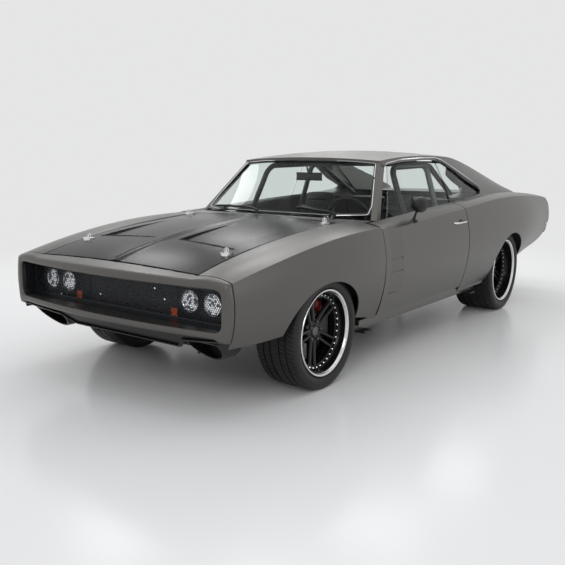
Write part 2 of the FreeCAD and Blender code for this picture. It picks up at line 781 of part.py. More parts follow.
nose = Part.makeLoft([nose_outline(nose_rear_y, 0, 0),
                      nose_outline(nose_rear_y - nose_reach, nose_taper, nose_drop)], True, True)
nose = nose.common(bow_front(0))
under_nose = prism_y([(-900, 200), (900, 200), (900, lip_end_z), (mouth_half - 12, lip_end_z),
                      (mouth_half - 32, nose_bottom), (32 - mouth_half, nose_bottom),
                      (12 - mouth_half, lip_end_z), (-900, lip_end_z)], nose_front_y - 100, nose_rear_y + 1)
nose = nose.cut(under_nose)
mouth = rounded_slot(mouth_half, mouth_bottom, mouth_top, size("mouth_round"), nose_rear_y - 300, nose_rear_y + 1)
nose = nose.cut(mouth)
shaped("nose_surround", nose)

grille_y = behind_front(size("grille_behind"))
grille_rear_y = grille_y + size("grille_thickness")
duct_wall = 8.0
duct = rounded_slot(mouth_half + duct_wall, mouth_bottom - duct_wall, mouth_top + duct_wall,
                    size("mouth_round") + duct_wall, nose_rear_y, grille_rear_y + 4)
duct = duct.cut(rounded_slot(mouth_half, mouth_bottom, mouth_top, size("mouth_round"),
                             nose_rear_y - 1, grille_rear_y + 5))
shaped("grille_duct", duct)

mesh = rounded_slot(mouth_half, mouth_bottom, mouth_top, size("mouth_round"), grille_y, grille_rear_y)
pitch = size("grille_pitch")
hole = pitch / 2 - size("grille_bar")
columns = int(mouth_half / pitch)
levels = int(size("mouth_height") / pitch)
middle_z = (mouth_bottom + mouth_top) / 2
holes = []
for column in range(-2 * columns, 2 * columns + 1):
    x = column * pitch / 2
    for level in range(-levels, levels + 1):
        z = middle_z + level * pitch / 2
        inside = abs(x) + pitch / 2 < mouth_half and abs(z - middle_z) + hole < size("mouth_height") / 2
        if inside and (column + level) % 2 == 0:
            diamond = [(x - hole, z), (x, z - hole), (x + hole, z), (x, z + hole)]
            holes.append(prism_y(diamond, grille_y - 1, grille_rear_y + 1))
mesh = mesh.cut(Part.makeCompound(holes))
shaped("grille_mesh", mesh)

# Four round lamps stand on the support panel behind the mesh.
lamp_y = grille_rear_y + 10
panel_y = lamp_y + size("lamp_depth")


def lamp_at(x):
    """A domed lens in a raised ring on a bowl."""
    radius = size("lamp_radius")
    depth = size("lamp_depth")
    start = Vector(0, -3, 0)
    edge_in = Vector(radius - 6, 3, 0)
    corners = [edge_in, Vector(radius - 4, 0, 0), Vector(radius, 0, 0), Vector(radius, 14, 0),
               Vector(radius * 0.7, depth, 0), Vector(0, depth, 0), start]
    edges = [arc(start, Vector(radius / 2, -1.5, 0), edge_in)]
    for first, last in zip(corners, corners[1:]):
        edges.append(line(first, last))
    lamp = Part.Face(Part.Wire(edges)).revolve(Vector(0, 0, 0), Vector(0, 1, 0), 360)
    lamp.translate(Vector(x, lamp_y, size("lamp_height")))
    return lamp


inner_lamp = lamp_at(size("lamp_inner_x"))
outer_lamp = lamp_at(size("lamp_outer_x"))
shaped("front_lamps", Part.makeCompound([inner_lamp, outer_lamp, mirrored(inner_lamp), mirrored(outer_lamp)]))

# The valance slants back below the nose, deeper in the middle, with a lip along its lower edge
# and a cooling scoop behind it on each side.
valance_rise = size("valance_depth")
valance_low = nose_bottom - valance_rise
valance_top_y = behind_front(-846)
valance_low_y = valance_top_y + valance_rise
LIP_PATH = [(821, lip_end_z), (504, nose_bottom - 59), (428, valance_low)]
lip_path = LIP_PATH + [(-x, z) for x, z in reversed(LIP_PATH)]


def slanted(ahead, depth):
    """A sheet along the slant, its face moved forward by ahead."""
    profile = [(valance_top_y - ahead, nose_bottom), (valance_top_y + depth, nose_bottom),
               (valance_low_y + depth, valance_low), (valance_low_y - ahead, valance_low)]
    return prism_x(profile, -821, 821)


valance_front_view = prism_y(lip_path + [(-821, nose_bottom), (821, nose_bottom)], nose_front_y, nose_rear_y + 300)
lip_view = prism_y(lip_path + [(x, z + 10) for x, z in reversed(lip_path)], nose_front_y, nose_rear_y + 300)
valance = slanted(0, 8).common(valance_front_view)
lip = slanted(14, 8).common(lip_view)


def scoop_shape(inset, y1):
    """A round-bottomed duct behind the slant."""
    bottom = Vector(632, valance_top_y, 280 + inset)
    left = Vector(517 + inset, valance_top_y, 364)
    right = Vector(747 - inset, valance_top_y, 364)
    up = Vector(0, 0, 40 - inset)
    outline = Part.Wire([arc(left, bottom, right), line(right, right + up), line(right + up, left + up),
                         line(left + up, left)])
    return Part.Face(outline).extrude(Vector(0, y1 - valance_top_y, 0))


behind_slant = prism_x([(valance_top_y, nose_bottom), (valance_low_y + 60, valance_low - 60),
                        (valance_low_y + 300, valance_low - 60), (valance_low_y + 300, nose_bottom)], 0, 900)
scoop = scoop_shape(0, valance_low_y + 130).cut(scoop_shape(9, valance_low_y + 90)).common(behind_slant)
valance = valance.fuse([lip, scoop, mirrored(scoop)]).cut(nose)
shaped("front_valance", valance)

# ---------------------------------------------------------------------------------------------
# Tail: a hollow wrap-round shell that leans in at top and bottom, lamps and a dark bumper bar.

tail = prism_x(TAIL_PROFILE, 0, 950)
tail_wall = 26.0
inner_profile = []
for y, z in TAIL_PROFILE:
    inner_profile.append((y - tail_wall, z + tail_wall if z < 700 else z - tail_wall if z > 800 else z))
tail = tail.cut(prism_x(inner_profile, 0, 950))
tail = tail.common(side_block(SIDE_SECTIONS[-3:], 0, -40)).cut(quarter)
tail = sorted(tail.Solids, key=lambda piece: -piece.Volume)[0]
tail = tail.fuse(mirrored(tail)).removeSplitter()
lamp_slot = block(90, 760, tail_end_y - 44, tail_end_y + 10, 766, 828)
tail = tail.cut(pair(lamp_slot))
shaped("tail_panel", tail)
lamp_bar = prism_x(TAIL_PROFILE, 90, 760).common(block(90, 760, tail_end_y - 44, tail_end_y - 10, 766, 828))
shaped("tail_lamps", pair(lamp_bar))

bumper_out = size("bumper_thickness")
bumper_profile = [
    (tail_end_y - 4, 752), (tail_end_y + bumper_out, 744), (tail_end_y + bumper_out, 730),
    (tail_end_y - 40 + bumper_out, 638), (tail_end_y - 80, 606), (tail_end_y - 86, 619),
    (tail_end_y - 40, 648), (tail_end_y, 740),
]
bumper_half = 868.0
bumper = prism_x(bumper_profile, -bumper_half, bumper_half).cut(prism_x(TAIL_PROFILE, -950, 950))
shaped("rear_bumper", bumper)

# ---------------------------------------------------------------------------------------------
# Structure, engine and driveline.


def bound_box(label, near, far):
    """A box between two corners given as expressions of the sheet's sizes."""
    thing = doc.addObject("Part::Box", label)
    for axis, side, first, last in zip("xyz", ("Length", "Width", "Height"), near, far):
        thing.setExpression("Placement.Base." + axis, first)
        thing.setExpression(side, "(%s) - (%s)" % (last, first))
    return thing


def grouped(label, members):
    """Loose solids of one body, kept as one sub-part."""
    thing = doc.addObject("Part::Compound", label)
    thing.Links = members
    return keep(label, thing)


cabin_half = 760.0
tunnel_half = 165.0
tunnel_top = 440.0
cabin_front_y = firewall_y
cabin_rear_y = behind_rear(-size("cabin_rear_ahead"))
floor = block(-cabin_half, cabin_half, cabin_front_y, cabin_rear_y, size("floor_bottom"), floor_top)
floor = floor.cut(block(-tunnel_half, tunnel_half, cabin_front_y - 1, cabin_rear_y + 1, 0, floor_top + 1))
tunnel = block(-tunnel_half - 8, tunnel_half + 8, cabin_front_y, cabin_rear_y, size("floor_bottom"), tunnel_top + 8)
tunnel = tunnel.cut(block(-tunnel_half, tunnel_half, cabin_front_y - 1, cabin_rear_y + 1, 0, tunnel_top))
floor = floor.fuse(tunnel).removeSplitter()
shaped("floor_pan", floor)

sill_front_y = behind_front(420)
sill_rear_y = behind_rear(-420)
sill = block(size("sill_inner"), size("sill_outer"), sill_front_y, sill_rear_y, size("sill_bottom"), size("sill_top"))
sill = sill.fuse(block(cabin_half, size("sill_inner"), sill_front_y, sill_rear_y,
                       size("floor_bottom"), size("sill_top"))).removeSplitter()
sill = sill.cut(fender).cut(quarter)
shaped("sills", pair(sill))

firewall = block(-cabin_half, cabin_half, firewall_y - 10, firewall_y, size("floor_bottom"), 860)
firewall = firewall.cut(block(-tunnel_half, tunnel_half, firewall_y - 20, firewall_y + 1, 0, tunnel_top))
shaped("firewall", firewall)

rail_y0 = panel_y + size("support_panel")
support = block(-800, 800, panel_y, rail_y0, 430, 722)
support = support.cut(block(-360, 360, panel_y - 1, rail_y0 + 1, 446, 690))
frame_rail = block(400, 460, rail_y0, firewall_y - 10, 330, 430)
cross = block(-400, 400, behind_front(-60), behind_front(60), 250, 330)
cross = cross.fuse(block(-460, 460, rail_y0, rail_y0 + 60, 330, 430))
front_frame = frame_rail.fuse([mirrored(frame_rail), cross, support, block(-460, 460, panel_y, rail_y0, 330, 430),
                               block(400, 460, behind_front(-60), behind_front(60), 250, 330),
                               block(-460, -400, behind_front(-60), behind_front(60), 250, 330)])
shaped("front_frame", front_frame.removeSplitter())

engine = bound_box("engine",
                   ("-sizes.engine_width / 2", "sizes.front_axle_y - sizes.engine_ahead", "sizes.engine_bottom"),
                   ("sizes.engine_width / 2", "sizes.front_axle_y + sizes.engine_behind", "sizes.engine_top"))
panel_text = "sizes.front_axle_y + sizes.grille_behind + sizes.grille_thickness + 10 + sizes.lamp_depth + sizes.support_panel"
radiator = bound_box("radiator",
                     ("-sizes.radiator_width / 2", panel_text, "430"),
                     ("sizes.radiator_width / 2", panel_text + " + sizes.radiator_depth", "700"))
grouped("engine_block", [engine, radiator])

gearbox = block(-130, 130, behind_front(size("engine_behind")), behind_front(1000), 232, 410)
pinion_reach = 170.0
shaft_radius = 45.0
rear_z = size("rear_tyre_radius")
shaft = rod(Vector(0, behind_front(1000), 320), Vector(0, behind_rear(-pinion_reach - 60), 340), shaft_radius)
joint_block = rod(Vector(0, behind_rear(-pinion_reach - 80), rear_z), Vector(0, behind_rear(-pinion_reach), rear_z), 56)
shaped("driveline", gearbox.fuse([shaft, joint_block]))

rear_x = size("rear_track") / 2
house_in = rear_x - size("rear_tyre_width") / 2 - size("wheelhouse_gap")
trunk_floor_z = 500.0
rear_floor = prism_x([
    (cabin_rear_y, size("floor_bottom")), (cabin_rear_y + 14, size("floor_bottom")),
    (cabin_rear_y + 100, 560), (behind_rear(330), 560), (behind_rear(430), trunk_floor_z),
    (tail_front_y, trunk_floor_z), (tail_front_y, trunk_floor_z + 12), (behind_rear(434), trunk_floor_z + 12),
    (behind_rear(334), 572), (cabin_rear_y + 92, 572), (cabin_rear_y, floor_top)], -house_in, house_in)
rear_floor = rear_floor.cut(block(-tunnel_half, tunnel_half, cabin_rear_y - 1, cabin_rear_y + 70, 0, tunnel_top))
end_plate = block(-house_in, house_in, tail_front_y - 8, tail_front_y, trunk_floor_z + 12, 620)
shaped("trunk_floor", rear_floor.fuse(end_plate))

bulkhead_y = cabin_rear_y - 40
bulkhead = block(-640, 640, bulkhead_y, bulkhead_y + 10, floor_top, 992)
bulkhead = bulkhead.cut(block(-tunnel_half - 8, tunnel_half + 8, bulkhead_y - 1, bulkhead_y + 11, 0, tunnel_top + 8))
shelf = block(-540, 540, bulkhead_y + 10, behind_rear(-192), 980, 992)
rear_bulkhead = bulkhead.fuse(shelf)
shaped("rear_bulkhead", rear_bulkhead)

house_r = size("rear_tyre_radius") + 52
house_wall = 8.0
house_span = 440.0
across = Vector(1, 0, 0)
house = Part.makeCylinder(house_r + house_wall, house_span, Vector(house_in, REAR_AXLE, rear_z), across)
house = house.cut(Part.makeCylinder(house_r, house_span, Vector(house_in + house_wall, REAR_AXLE, rear_z), across))
house = house.common(block(house_in, 1100, REAR_AXLE - 600, REAR_AXLE + 600, rear_z + 20, 1000))
house = house.cut(block(house_in - 1, house_in + 30, REAR_AXLE - 90, REAR_AXLE + 90, 0, 480))
house = house.common(side_block(SIDE_SECTIONS, 300, 0)).cut(quarter)
house = sorted(house.Solids, key=lambda piece: -piece.Volume)[0]
shaped("rear_wheelhouses", pair(house))

front_house_r = 430.0
house = Part.makeCylinder(front_house_r + house_wall, house_span, Vector(464, FRONT_AXLE, size("front_tyre_radius")),
                          across)
house = house.cut(Part.makeCylinder(front_house_r, house_span, Vector(472, FRONT_AXLE, size("front_tyre_radius")),
                                    across))
house = house.common(block(460, 1100, FRONT_AXLE - 600, firewall_y - 10, 480, 1000))
house = house.common(side_block(FENDER_SECTIONS, 300, 0)).cut(fender)
house = sorted(house.Solids, key=lambda piece: -piece.Volume)[0]
apron_line = [(behind_front(-670), 640), (behind_front(-670), 736), (behind_front(-480), 780),
              (behind_front(0), 846), (firewall_y - 10, 866), (firewall_y - 10, 640)]
apron = prism_x(apron_line, 464, 472)
shaped("inner_fenders", pair(house.fuse(apron)))

tank = block(-270, 270, behind_rear(480), behind_rear(960), 330, trunk_floor_z)

pipe_r = 30.0
pipe_z = size("floor_bottom") - pipe_r
pipe_points = [Vector(330, behind_front(300), pipe_z), Vector(330, behind_rear(330), pipe_z),
               Vector(330, behind_rear(620), 440), Vector(330, behind_rear(1140), 466)]
pipe = bent_tube(pipe_points, 160, pipe_r)
shaped("exhaust_and_tank", Part.makeCompound([pipe, mirrored(pipe), tank]))

doc.recompute()

# ---------------------------------------------------------------------------------------------
# Wheels.  Each turns about its axle on a stub with a running gap.


def turned(label, corners):
    """A body turned about X from a closed profile of (across, radius) expressions."""
    body = doc.addObject("PartDesign::Body", label)
    sketch = body.newObject("Sketcher::SketchObject", label + "_profile")
    plane = [item for item in body.Origin.OriginFeatures if item.Role == "XY_Plane"][0]
    sketch.AttachmentSupport = [(plane, "")]
    sketch.MapMode = "FlatFace"
    values = [(sheet_value(across), sheet_value(radius)) for across, radius in corners]
    count = len(values)
    for index in range(count):
        first = Vector(*values[index], 0)
        last = Vector(*values[(index + 1) % count], 0)
        sketch.addGeometry(Part.LineSegment(first, last))
    for index in range(count):
        sketch.addConstraint(Sketcher.Constraint("Coincident", index, 2, (index + 1) % count, 1))
    for index, (across, radius) in enumerate(corners):
        item = sketch.addConstraint(Sketcher.Constraint("DistanceX", -1, 1, index, 1, values[index][0]))
        sketch.setExpression("Constraints[%d]" % item, across)
        item = sketch.addConstraint(Sketcher.Constraint("DistanceY", -1, 1, index, 1, values[index][1]))
        sketch.setExpression("Constraints[%d]" % item, radius)
    revolution = body.newObject("PartDesign::Revolution", label + "_turn")
    revolution.Profile = sketch
    revolution.ReferenceAxis = (sketch, ["H_Axis"])
    revolution.Angle = 360
    doc.recompute()
    return body, revolution


def sheet_value(text):
    """The present value of an expression of the sheet's sizes."""
    return float(sheet.evalExpression(text.replace("sizes.", "")))


def place_wheel(thing, side, track, axle_y, radius):
    """side is 1 for the left wheel and -1 for the right, which is turned to face outward."""
    thing.Placement = Placement(Vector(side * size(track) / 2, axle_y, size(radius)),
                                Rotation(Vector(0, 0, 1), 0 if side > 0 else 180))


def spoked_rim(half, rim_radius, hub_out, dish):
    """A barrel with a stepped lip, a bolt ring down in the dish, five pairs of spokes and a hub."""
    wall = size("rim_wall")
    bead = rim_radius - 14
    lip = size("rim_lip")
    barrel = [(-half, bead - wall), (-half, rim_radius), (-half + wall, rim_radius), (-half + wall, bead),
              (half - wall, bead), (half - wall, rim_radius), (half, rim_radius), (half, bead - wall),
              (half - lip, bead - wall - 6), (half - lip - 20, bead - wall)]
    corners = [Vector(x, 0, z) for x, z in barrel]
    ring = Part.Face(Part.makePolygon(corners + corners[:1]))
    rim = ring.revolve(Vector(0, 0, 0), Vector(1, 0, 0), 360)
    hub_in = size("disc_thickness") / 2 - size("disc_inboard")
    seat_x = half - dish
    seat = Part.makeCylinder(bead - wall + 1, 12, Vector(seat_x - 12, 0, 0), Vector(1, 0, 0))
    seat = seat.cut(Part.makeCylinder(bead - wall - size("bolt_ring"), 12, Vector(seat_x - 12, 0, 0), Vector(1, 0, 0)))
    hub = Part.makeCylinder(size("hub_radius"), hub_out - hub_in, Vector(hub_in, 0, 0), Vector(1, 0, 0))
    cap = Part.makeCone(size("hub_bore") + 14, size("hub_bore"), 22, Vector(hub_out, 0, 0), Vector(1, 0, 0))
    pieces = [seat, hub, cap]
    pairs = int(size("spoke_pairs"))
    for index in range(pairs):
        for lean in (-1, 1):
            angle = 360.0 / pairs * index + 90
            foot = 17.0 * lean
            outer = 50.0 * lean
            wide = size("spoke_width") / 2
            deep = size("spoke_depth")
            near = size("hub_radius") - 8
            far = bead - wall - size("bolt_ring") + 12
            spoke = Part.makeLoft([
                Part.makePolygon([Vector(hub_out - deep, foot - wide, near), Vector(hub_out - deep, foot + wide, near),
                                  Vector(hub_out, foot + wide - 3, near), Vector(hub_out, foot - wide + 3, near),
                                  Vector(hub_out - deep, foot - wide, near)]),
                Part.makePolygon([Vector(seat_x - deep, outer - wide, far),
                                  Vector(seat_x - deep, outer + wide, far),
                                  Vector(seat_x, outer + wide - 4, far), Vector(seat_x, outer - wide + 4, far),
                                  Vector(seat_x - deep, outer - wide, far)]),
            ], True, True)
            spoke = spoke.common(Part.makeCylinder(far - 1.5, 400, Vector(-200, 0, 0), Vector(1, 0, 0)))
            spoke.rotate(Vector(0, 0, 0), Vector(1, 0, 0), angle)
            pieces.append(spoke)
    rim = rim.fuse(pieces)
    bore = Part.makeCylinder(size("axle_radius") + size("spin_gap"), hub_out - hub_in, Vector(hub_in - 1, 0, 0),
                             Vector(1, 0, 0))
    return rim.cut(bore).removeSplitter()


WHEELS = [
    ("front_left", 1, "front_track", FRONT_AXLE, "front_tyre_radius", "front_tyre_width", "front_rim_radius",
     "front_disc_radius", "front_hub_out", "front_dish"),
    ("front_right", -1, "front_track", FRONT_AXLE, "front_tyre_radius", "front_tyre_width", "front_rim_radius",
     "front_disc_radius", "front_hub_out", "front_dish"),
    ("rear_left", 1, "rear_track", REAR_AXLE, "rear_tyre_radius", "rear_tyre_width", "rear_rim_radius",
     "rear_disc_radius", "rear_hub_out", "rear_dish"),
    ("rear_right", -1, "rear_track", REAR_AXLE, "rear_tyre_radius", "rear_tyre_width", "rear_rim_radius",
     "rear_disc_radius", "rear_hub_out", "rear_dish"),
]
for name, side, track, axle_y, tyre_radius, tyre_width, rim_radius, disc_radius, hub_out, dish in WHEELS:
    half = "sizes.%s / 2" % tyre_width
    radius = "sizes.%s" % tyre_radius
    bead = "(sizes.%s - 14)" % rim_radius
    corner = "sizes.tyre_shoulder"
    tyre, tyre_turn = turned("tyre_" + name, [
        ("-%s + sizes.rim_inset + sizes.rim_wall + sizes.spin_gap" % half, bead),
        ("-%s + sizes.rim_inset + sizes.rim_wall + sizes.spin_gap" % half, bead + " + 16"),
        ("-%s + 6" % half, bead + " + 30"),
        ("-%s" % half, radius + " - %s - 12" % corner),
        ("-%s + 6" % half, radius + " - %s / 2" % corner),
        ("-%s + %s" % (half, corner), radius),
        ("%s - %s" % (half, corner), radius),
        ("%s - 6" % half, radius + " - %s / 2" % corner),
        (half, radius + " - %s - 12" % corner),
        ("%s - 6" % half, bead + " + 30"),
        ("%s - sizes.rim_inset - sizes.rim_wall - sizes.spin_gap" % half, bead + " + 16"),
        ("%s - sizes.rim_inset - sizes.rim_wall - sizes.spin_gap" % half, bead),
    ])
    place_wheel(tyre, side, track, axle_y, tyre_radius)
    keep("tyre_" + name, tyre)
    rim = shaped("rim_" + name, spoked_rim(size(tyre_width) / 2 - size("rim_inset"), size(rim_radius),
                                           size(hub_out), size(dish)))
    place_wheel(rim, side, track, axle_y, tyre_radius)
    disc_in = "-sizes.disc_inboard - sizes.disc_thickness / 2"
    disc_out = "-sizes.disc_inboard + sizes.disc_thickness / 2"
    disc, disc_turn = turned("disc_" + name, [
        (disc_in, "sizes.hub_bore"),
        (disc_in, "sizes." + disc_radius),
        (disc_out, "sizes." + disc_radius),
        (disc_out, "sizes.hub_bore"),
    ])
    place_wheel(disc, side, track, axle_y, tyre_radius)
    keep("disc_" + name, disc)

# ---------------------------------------------------------------------------------------------
# Front knuckles on kingpins, carried between two arms; rear axle with its brakes.

wheel_x = size("front_track") / 2
kingpin_x = wheel_x - size("steer_inset")
hub_z = size("front_tyre_radius")
disc_half = size("disc_thickness") / 2
spindle_end = wheel_x + size("front_hub_out") - 8


def caliper(centre_x, axle_y, centre_z, disc_radius, reach_x):
    """A block astride the disc behind the axle with an arm back to reach_x."""
    shell = block(centre_x - disc_half - 26, centre_x + disc_half + 26, axle_y + disc_radius - 66, axle_y + disc_radius + 14,
                  centre_z - 62, centre_z + 62)
    slot = block(centre_x - disc_half - 6, centre_x + disc_half + 6, axle_y - 50, axle_y + disc_radius + 6,
                 centre_z - 100, centre_z + 100)
    arm = block(reach_x, centre_x - disc_half - 10, axle_y - 24, axle_y + disc_radius - 40, centre_z - 26, centre_z + 26)
    return shell.cut(slot).fuse(arm)


boss = Part.makeCylinder(30, 170, Vector(kingpin_x, FRONT_AXLE, hub_z - 85))
spindle = rod(Vector(kingpin_x, FRONT_AXLE, hub_z), Vector(spindle_end, FRONT_AXLE, hub_z), size("axle_radius"))
knuckle = boss.fuse([spindle, caliper(wheel_x - size("disc_inboard"), FRONT_AXLE, hub_z, size("front_disc_radius"), kingpin_x)])
pin_bore = Part.makeCylinder(size("kingpin_radius") + size("spin_gap"), 400, Vector(kingpin_x, FRONT_AXLE, hub_z - 200))
knuckle = knuckle.cut(pin_bore).removeSplitter()
shaped("knuckle_left", knuckle)
shaped("knuckle_right", mirrored(knuckle))

arm_eye = 26.0


def control_arm(inner_x, z_low, z_high):
    """A flat arm that ends in a round eye on the kingpin, clear of the brake disc at full lock."""
    beam = block(inner_x, kingpin_x, FRONT_AXLE - arm_eye, FRONT_AXLE + arm_eye, z_low, z_high)
    return beam.fuse(Part.makeCylinder(arm_eye, z_high - z_low, Vector(kingpin_x, FRONT_AXLE, z_low)))


lower_arm = control_arm(460, hub_z - 112, hub_z - 92)
lower_arm = lower_arm.fuse(block(402, 480, FRONT_AXLE - 34, FRONT_AXLE + 34, hub_z - 112, 250))
upper_arm = control_arm(462, hub_z + 92, hub_z + 108)
kingpin = Part.makeCylinder(size("kingpin_radius"), 220, Vector(kingpin_x, FRONT_AXLE, hub_z - 112))
arms = lower_arm.fuse([upper_arm, kingpin, block(460, 476, FRONT_AXLE - 30, FRONT_AXLE + 30, 330, hub_z + 108)])
shaped("front_arms", pair(arms.removeSplitter()))

tube = rod(Vector(0, REAR_AXLE, rear_z), Vector(rear_x - size("disc_inboard") - disc_half - 12, REAR_AXLE, rear_z), 42)
stub = rod(Vector(rear_x - 60, REAR_AXLE, rear_z), Vector(rear_x + size("rear_hub_out") - 8, REAR_AXLE, rear_z),
           size("axle_radius"))
half_axle = tube.fuse([stub, caliper(rear_x - size("disc_inboard"), REAR_AXLE, rear_z, size("rear_disc_radius"), rear_x - 90)])
spring = block(house_in - 60, house_in - 4, REAR_AXLE - 330, REAR_AXLE + 330, rear_z - 42 - 30, rear_z - 42)
post_up = block(house_in - 50, house_in - 14, REAR_AXLE - 30, REAR_AXLE + 30, rear_z, 560)
half_axle = half_axle.fuse([spring, post_up])
housing = rod(Vector(-95, REAR_AXLE, rear_z), Vector(95, REAR_AXLE, rear_z), 118)
pinion_nose = rod(Vector(0, REAR_AXLE - pinion_reach, rear_z), Vector(0, REAR_AXLE, rear_z), 60)
axle = half_axle.fuse([mirrored(half_axle), housing, pinion_nose]).removeSplitter()
shaped("rear_axle", axle)

# ---------------------------------------------------------------------------------------------
# Cabin: seats, dash, steering wheel, cage and glass.

seat_x = 400.0
SEAT_PROFILE = [(1230, floor_top), (1690, floor_top), (1750, 420), (1905, 1010), (1870, 1060), (1790, 1060),
                (1640, 480), (1250, 470), (1190, 430)]
seat = prism_x([(behind_front(behind), z) for behind, z in SEAT_PROFILE], seat_x - 222, seat_x + 222)
seat = seat.cut(prism_x([(behind_front(1300), 440), (behind_front(1655), 425), (behind_front(1800), 1000),
                         (behind_front(1700), 1100), (behind_front(1200), 700)], seat_x - 160, seat_x + 160))
shaped("front_seats", pair(seat))

dash = prism_x([(firewall_y, 690), (firewall_y, 845), (behind_front(545), 850), (behind_front(600), 900),
                (behind_front(800), 880),
                (behind_front(850), 820), (behind_front(810), 700), (behind_front(640), 670)], -600, 600)

steering_x = 375.0
wheel_centre = Vector(steering_x, behind_front(1120), 885)
column_dir = Vector(0, -math.cos(math.radians(22)), -math.sin(math.radians(22)))
wheel_turn = Rotation(Vector(0, 0, 1), column_dir)
ring = Part.makeTorus(size("steering_wheel_radius"), size("steering_rim_tube"))
hub = Part.makeCylinder(34, 40, Vector(0, 0, -10))
steering = ring.fuse(hub)
for angle in (90, 210, 330):
    spoke = block(20, size("steering_wheel_radius"), -13, 13, -3, 3)
    spoke.rotate(Vector(0, 0, 0), Vector(0, 0, 1), angle)
    steering = steering.fuse(spoke)
column_r = 18.0
steering = steering.cut(Part.makeCylinder(column_r + size("spin_gap"), 60, Vector(0, 0, 8)))
steering.Placement = Placement(wheel_centre, wheel_turn)
steering = steering.removeSplitter()
shaped("steering_wheel", steering)
column = rod(wheel_centre + column_dir * 10, wheel_centre + column_dir * 400, column_r).cut(dash)
column = column.common(block(0, 900, behind_front(400), behind_front(1300), 0, 1300))
column_solids = sorted(column.Solids, key=lambda piece: -piece.CenterOfMass.y)
shaped("dashboard", dash.fuse(column_solids[0]).removeSplitter())

cage_r = size("cage_tube")
hoop_y = behind_front(1995)
hoop = bent_tube([Vector(650, hoop_y, floor_top), Vector(650, hoop_y, 940),
                  Vector(540, hoop_y, 1296), Vector(-540, hoop_y, 1296),
                  Vector(-650, hoop_y, 940), Vector(-650, hoop_y, floor_top)], 90, cage_r)
front_leg = bent_tube([Vector(694, behind_front(1330), floor_top), Vector(690, behind_front(1336), 940),
                       Vector(556, behind_front(1372), 1272), Vector(545, hoop_y - 10, 1288)], 90, cage_r)
rear_leg = bent_tube([Vector(530, hoop_y - 10, 1284), Vector(520, hoop_y + 120, 1276),
                      Vector(500, behind_rear(-262), 992)], 90, cage_r)
cage = hoop.fuse([front_leg, mirrored(front_leg), rear_leg, mirrored(rear_leg)]).cut(floor).cut(rear_bulkhead)
shaped("roll_cage", cage)

# axle, behind, belt_x, belt_z, rail_x, rail_z, centre_z, bulge
GLASS_SECTIONS = [("front", 780, 799, 930, 590, 1270, 1300, 6)] + ROOF_SECTIONS + [
    ("rear", -180, 744, 1026, 600, 1268, 1300, 8)]


def glass_section(row, inset, thickness):
    axle, behind, belt_x, belt_z, rail_x, rail_z, centre_z, bulge = row
    y = AXLES[axle] + behind
    belt = Vector(belt_x - inset + 10, y, belt_z - 45)
    rail = Vector(rail_x - inset, y, rail_z)
    side = (belt + rail) * 0.5 + Vector(bulge, 0, bulge * 0.5)
    inward = Vector(-thickness, 0, 0)
    return Part.Wire([
        arc(belt, side, rail),
        line(rail, rail + inward),
        arc(rail + inward, side + inward, belt + inward),
        line(belt + inward, belt),
    ])


side_glass = Part.makeLoft([glass_section(row, 9, size("glass_thickness")) for row in GLASS_SECTIONS], True)
glass_drop = window_rim + 8
door_glass_rear = size("door_rear") - 14
fixed_glass_front = size("door_rear") + 9
door_window = [(876, 900), (1190, 1278), (1400, 1346 - glass_drop), (1750, 1360 - glass_drop),
               (door_glass_rear, 1352 - glass_drop), (door_glass_rear, 900)]
quarter_window = [(fixed_glass_front, 900), (fixed_glass_front, 1330), (2110, 1311), (2310, 1232), (2480, 1163),
                  (2740, 1084), (2700, 1030), (2300, 1005)]


def cut_glass(outline):
    return side_glass.common(prism_x([(behind_front(behind), z) for behind, z in outline], 400, 1000))


door_pane = cut_glass(door_window).cut(door)
shaped("door_glass_left", door_pane)
shaped("door_glass_right", mirrored(door_pane))
quarter_pane = cut_glass(quarter_window).cut(quarter).cut(roof).cut(sail)

rear_glass = Part.makeLoft([
    Part.makePolygon([Vector(-548, behind_rear(-168), 1020), Vector(548, behind_rear(-168), 1020),
                      Vector(548, behind_rear(-162), 1020), Vector(-548, behind_rear(-162), 1020),
                      Vector(-548, behind_rear(-168), 1020)]),
    Part.makePolygon([Vector(-548, behind_rear(-620), 1318), Vector(548, behind_rear(-620), 1318),
                      Vector(548, behind_rear(-614), 1318), Vector(-548, behind_rear(-614), 1318),
                      Vector(-548, behind_rear(-620), 1318)]),
], True, True)
rear_glass = rear_glass.cut(roof).cut(pair(sail)).cut(deck)
rear_glass = sorted(rear_glass.Solids, key=lambda piece: -piece.Volume)[0]
shaped("fixed_glass", Part.makeCompound([windshield, rear_glass, quarter_pane, mirrored(quarter_pane)]))

# ---------------------------------------------------------------------------------------------
# Door furniture and lifting points.

mirror_centre = Vector(905, behind_front(1122), 1027)
head = Part.makeSphere(size("mirror_radius"), mirror_centre)
head = head.cut(block(700, 1100, mirror_centre.y + 22, mirror_centre.y + 200, 900, 1200))
stalk = rod(Vector(866, behind_front(1138), 900), mirror_centre, 11)
foot = rod(Vector(866, behind_front(1138), 900), Vector(866, behind_front(1138), 940), 24)
mirror_piece = head.fuse([stalk, foot]).cut(door)
mirror_piece = mirror_piece.common(block(700, 1100, -3000, 3000, 915, 1200))
mirror = sorted(mirror_piece.Solids, key=lambda piece: -piece.Volume)[0]

grip_front_y = behind_front(1730)
grip_rear_y = behind_front(1930)
handle = block(936, 952, grip_front_y, grip_rear_y, 850, 868)
handle = handle.makeFillet(5, [edge for edge in handle.Edges if edge.BoundBox.YLength > 100])
for y in (grip_front_y + 18, grip_rear_y - 18):
    handle = handle.fuse(rod(Vector(860, y, 859), Vector(940, y, 859), 8))
handle = sorted(handle.cut(door).Solids, key=lambda piece: -piece.CenterOfMass.x)[0]
shaped("door_trim_left", Part.makeCompound([mirror, handle]))
shaped("door_trim_right", mirrored(handle))

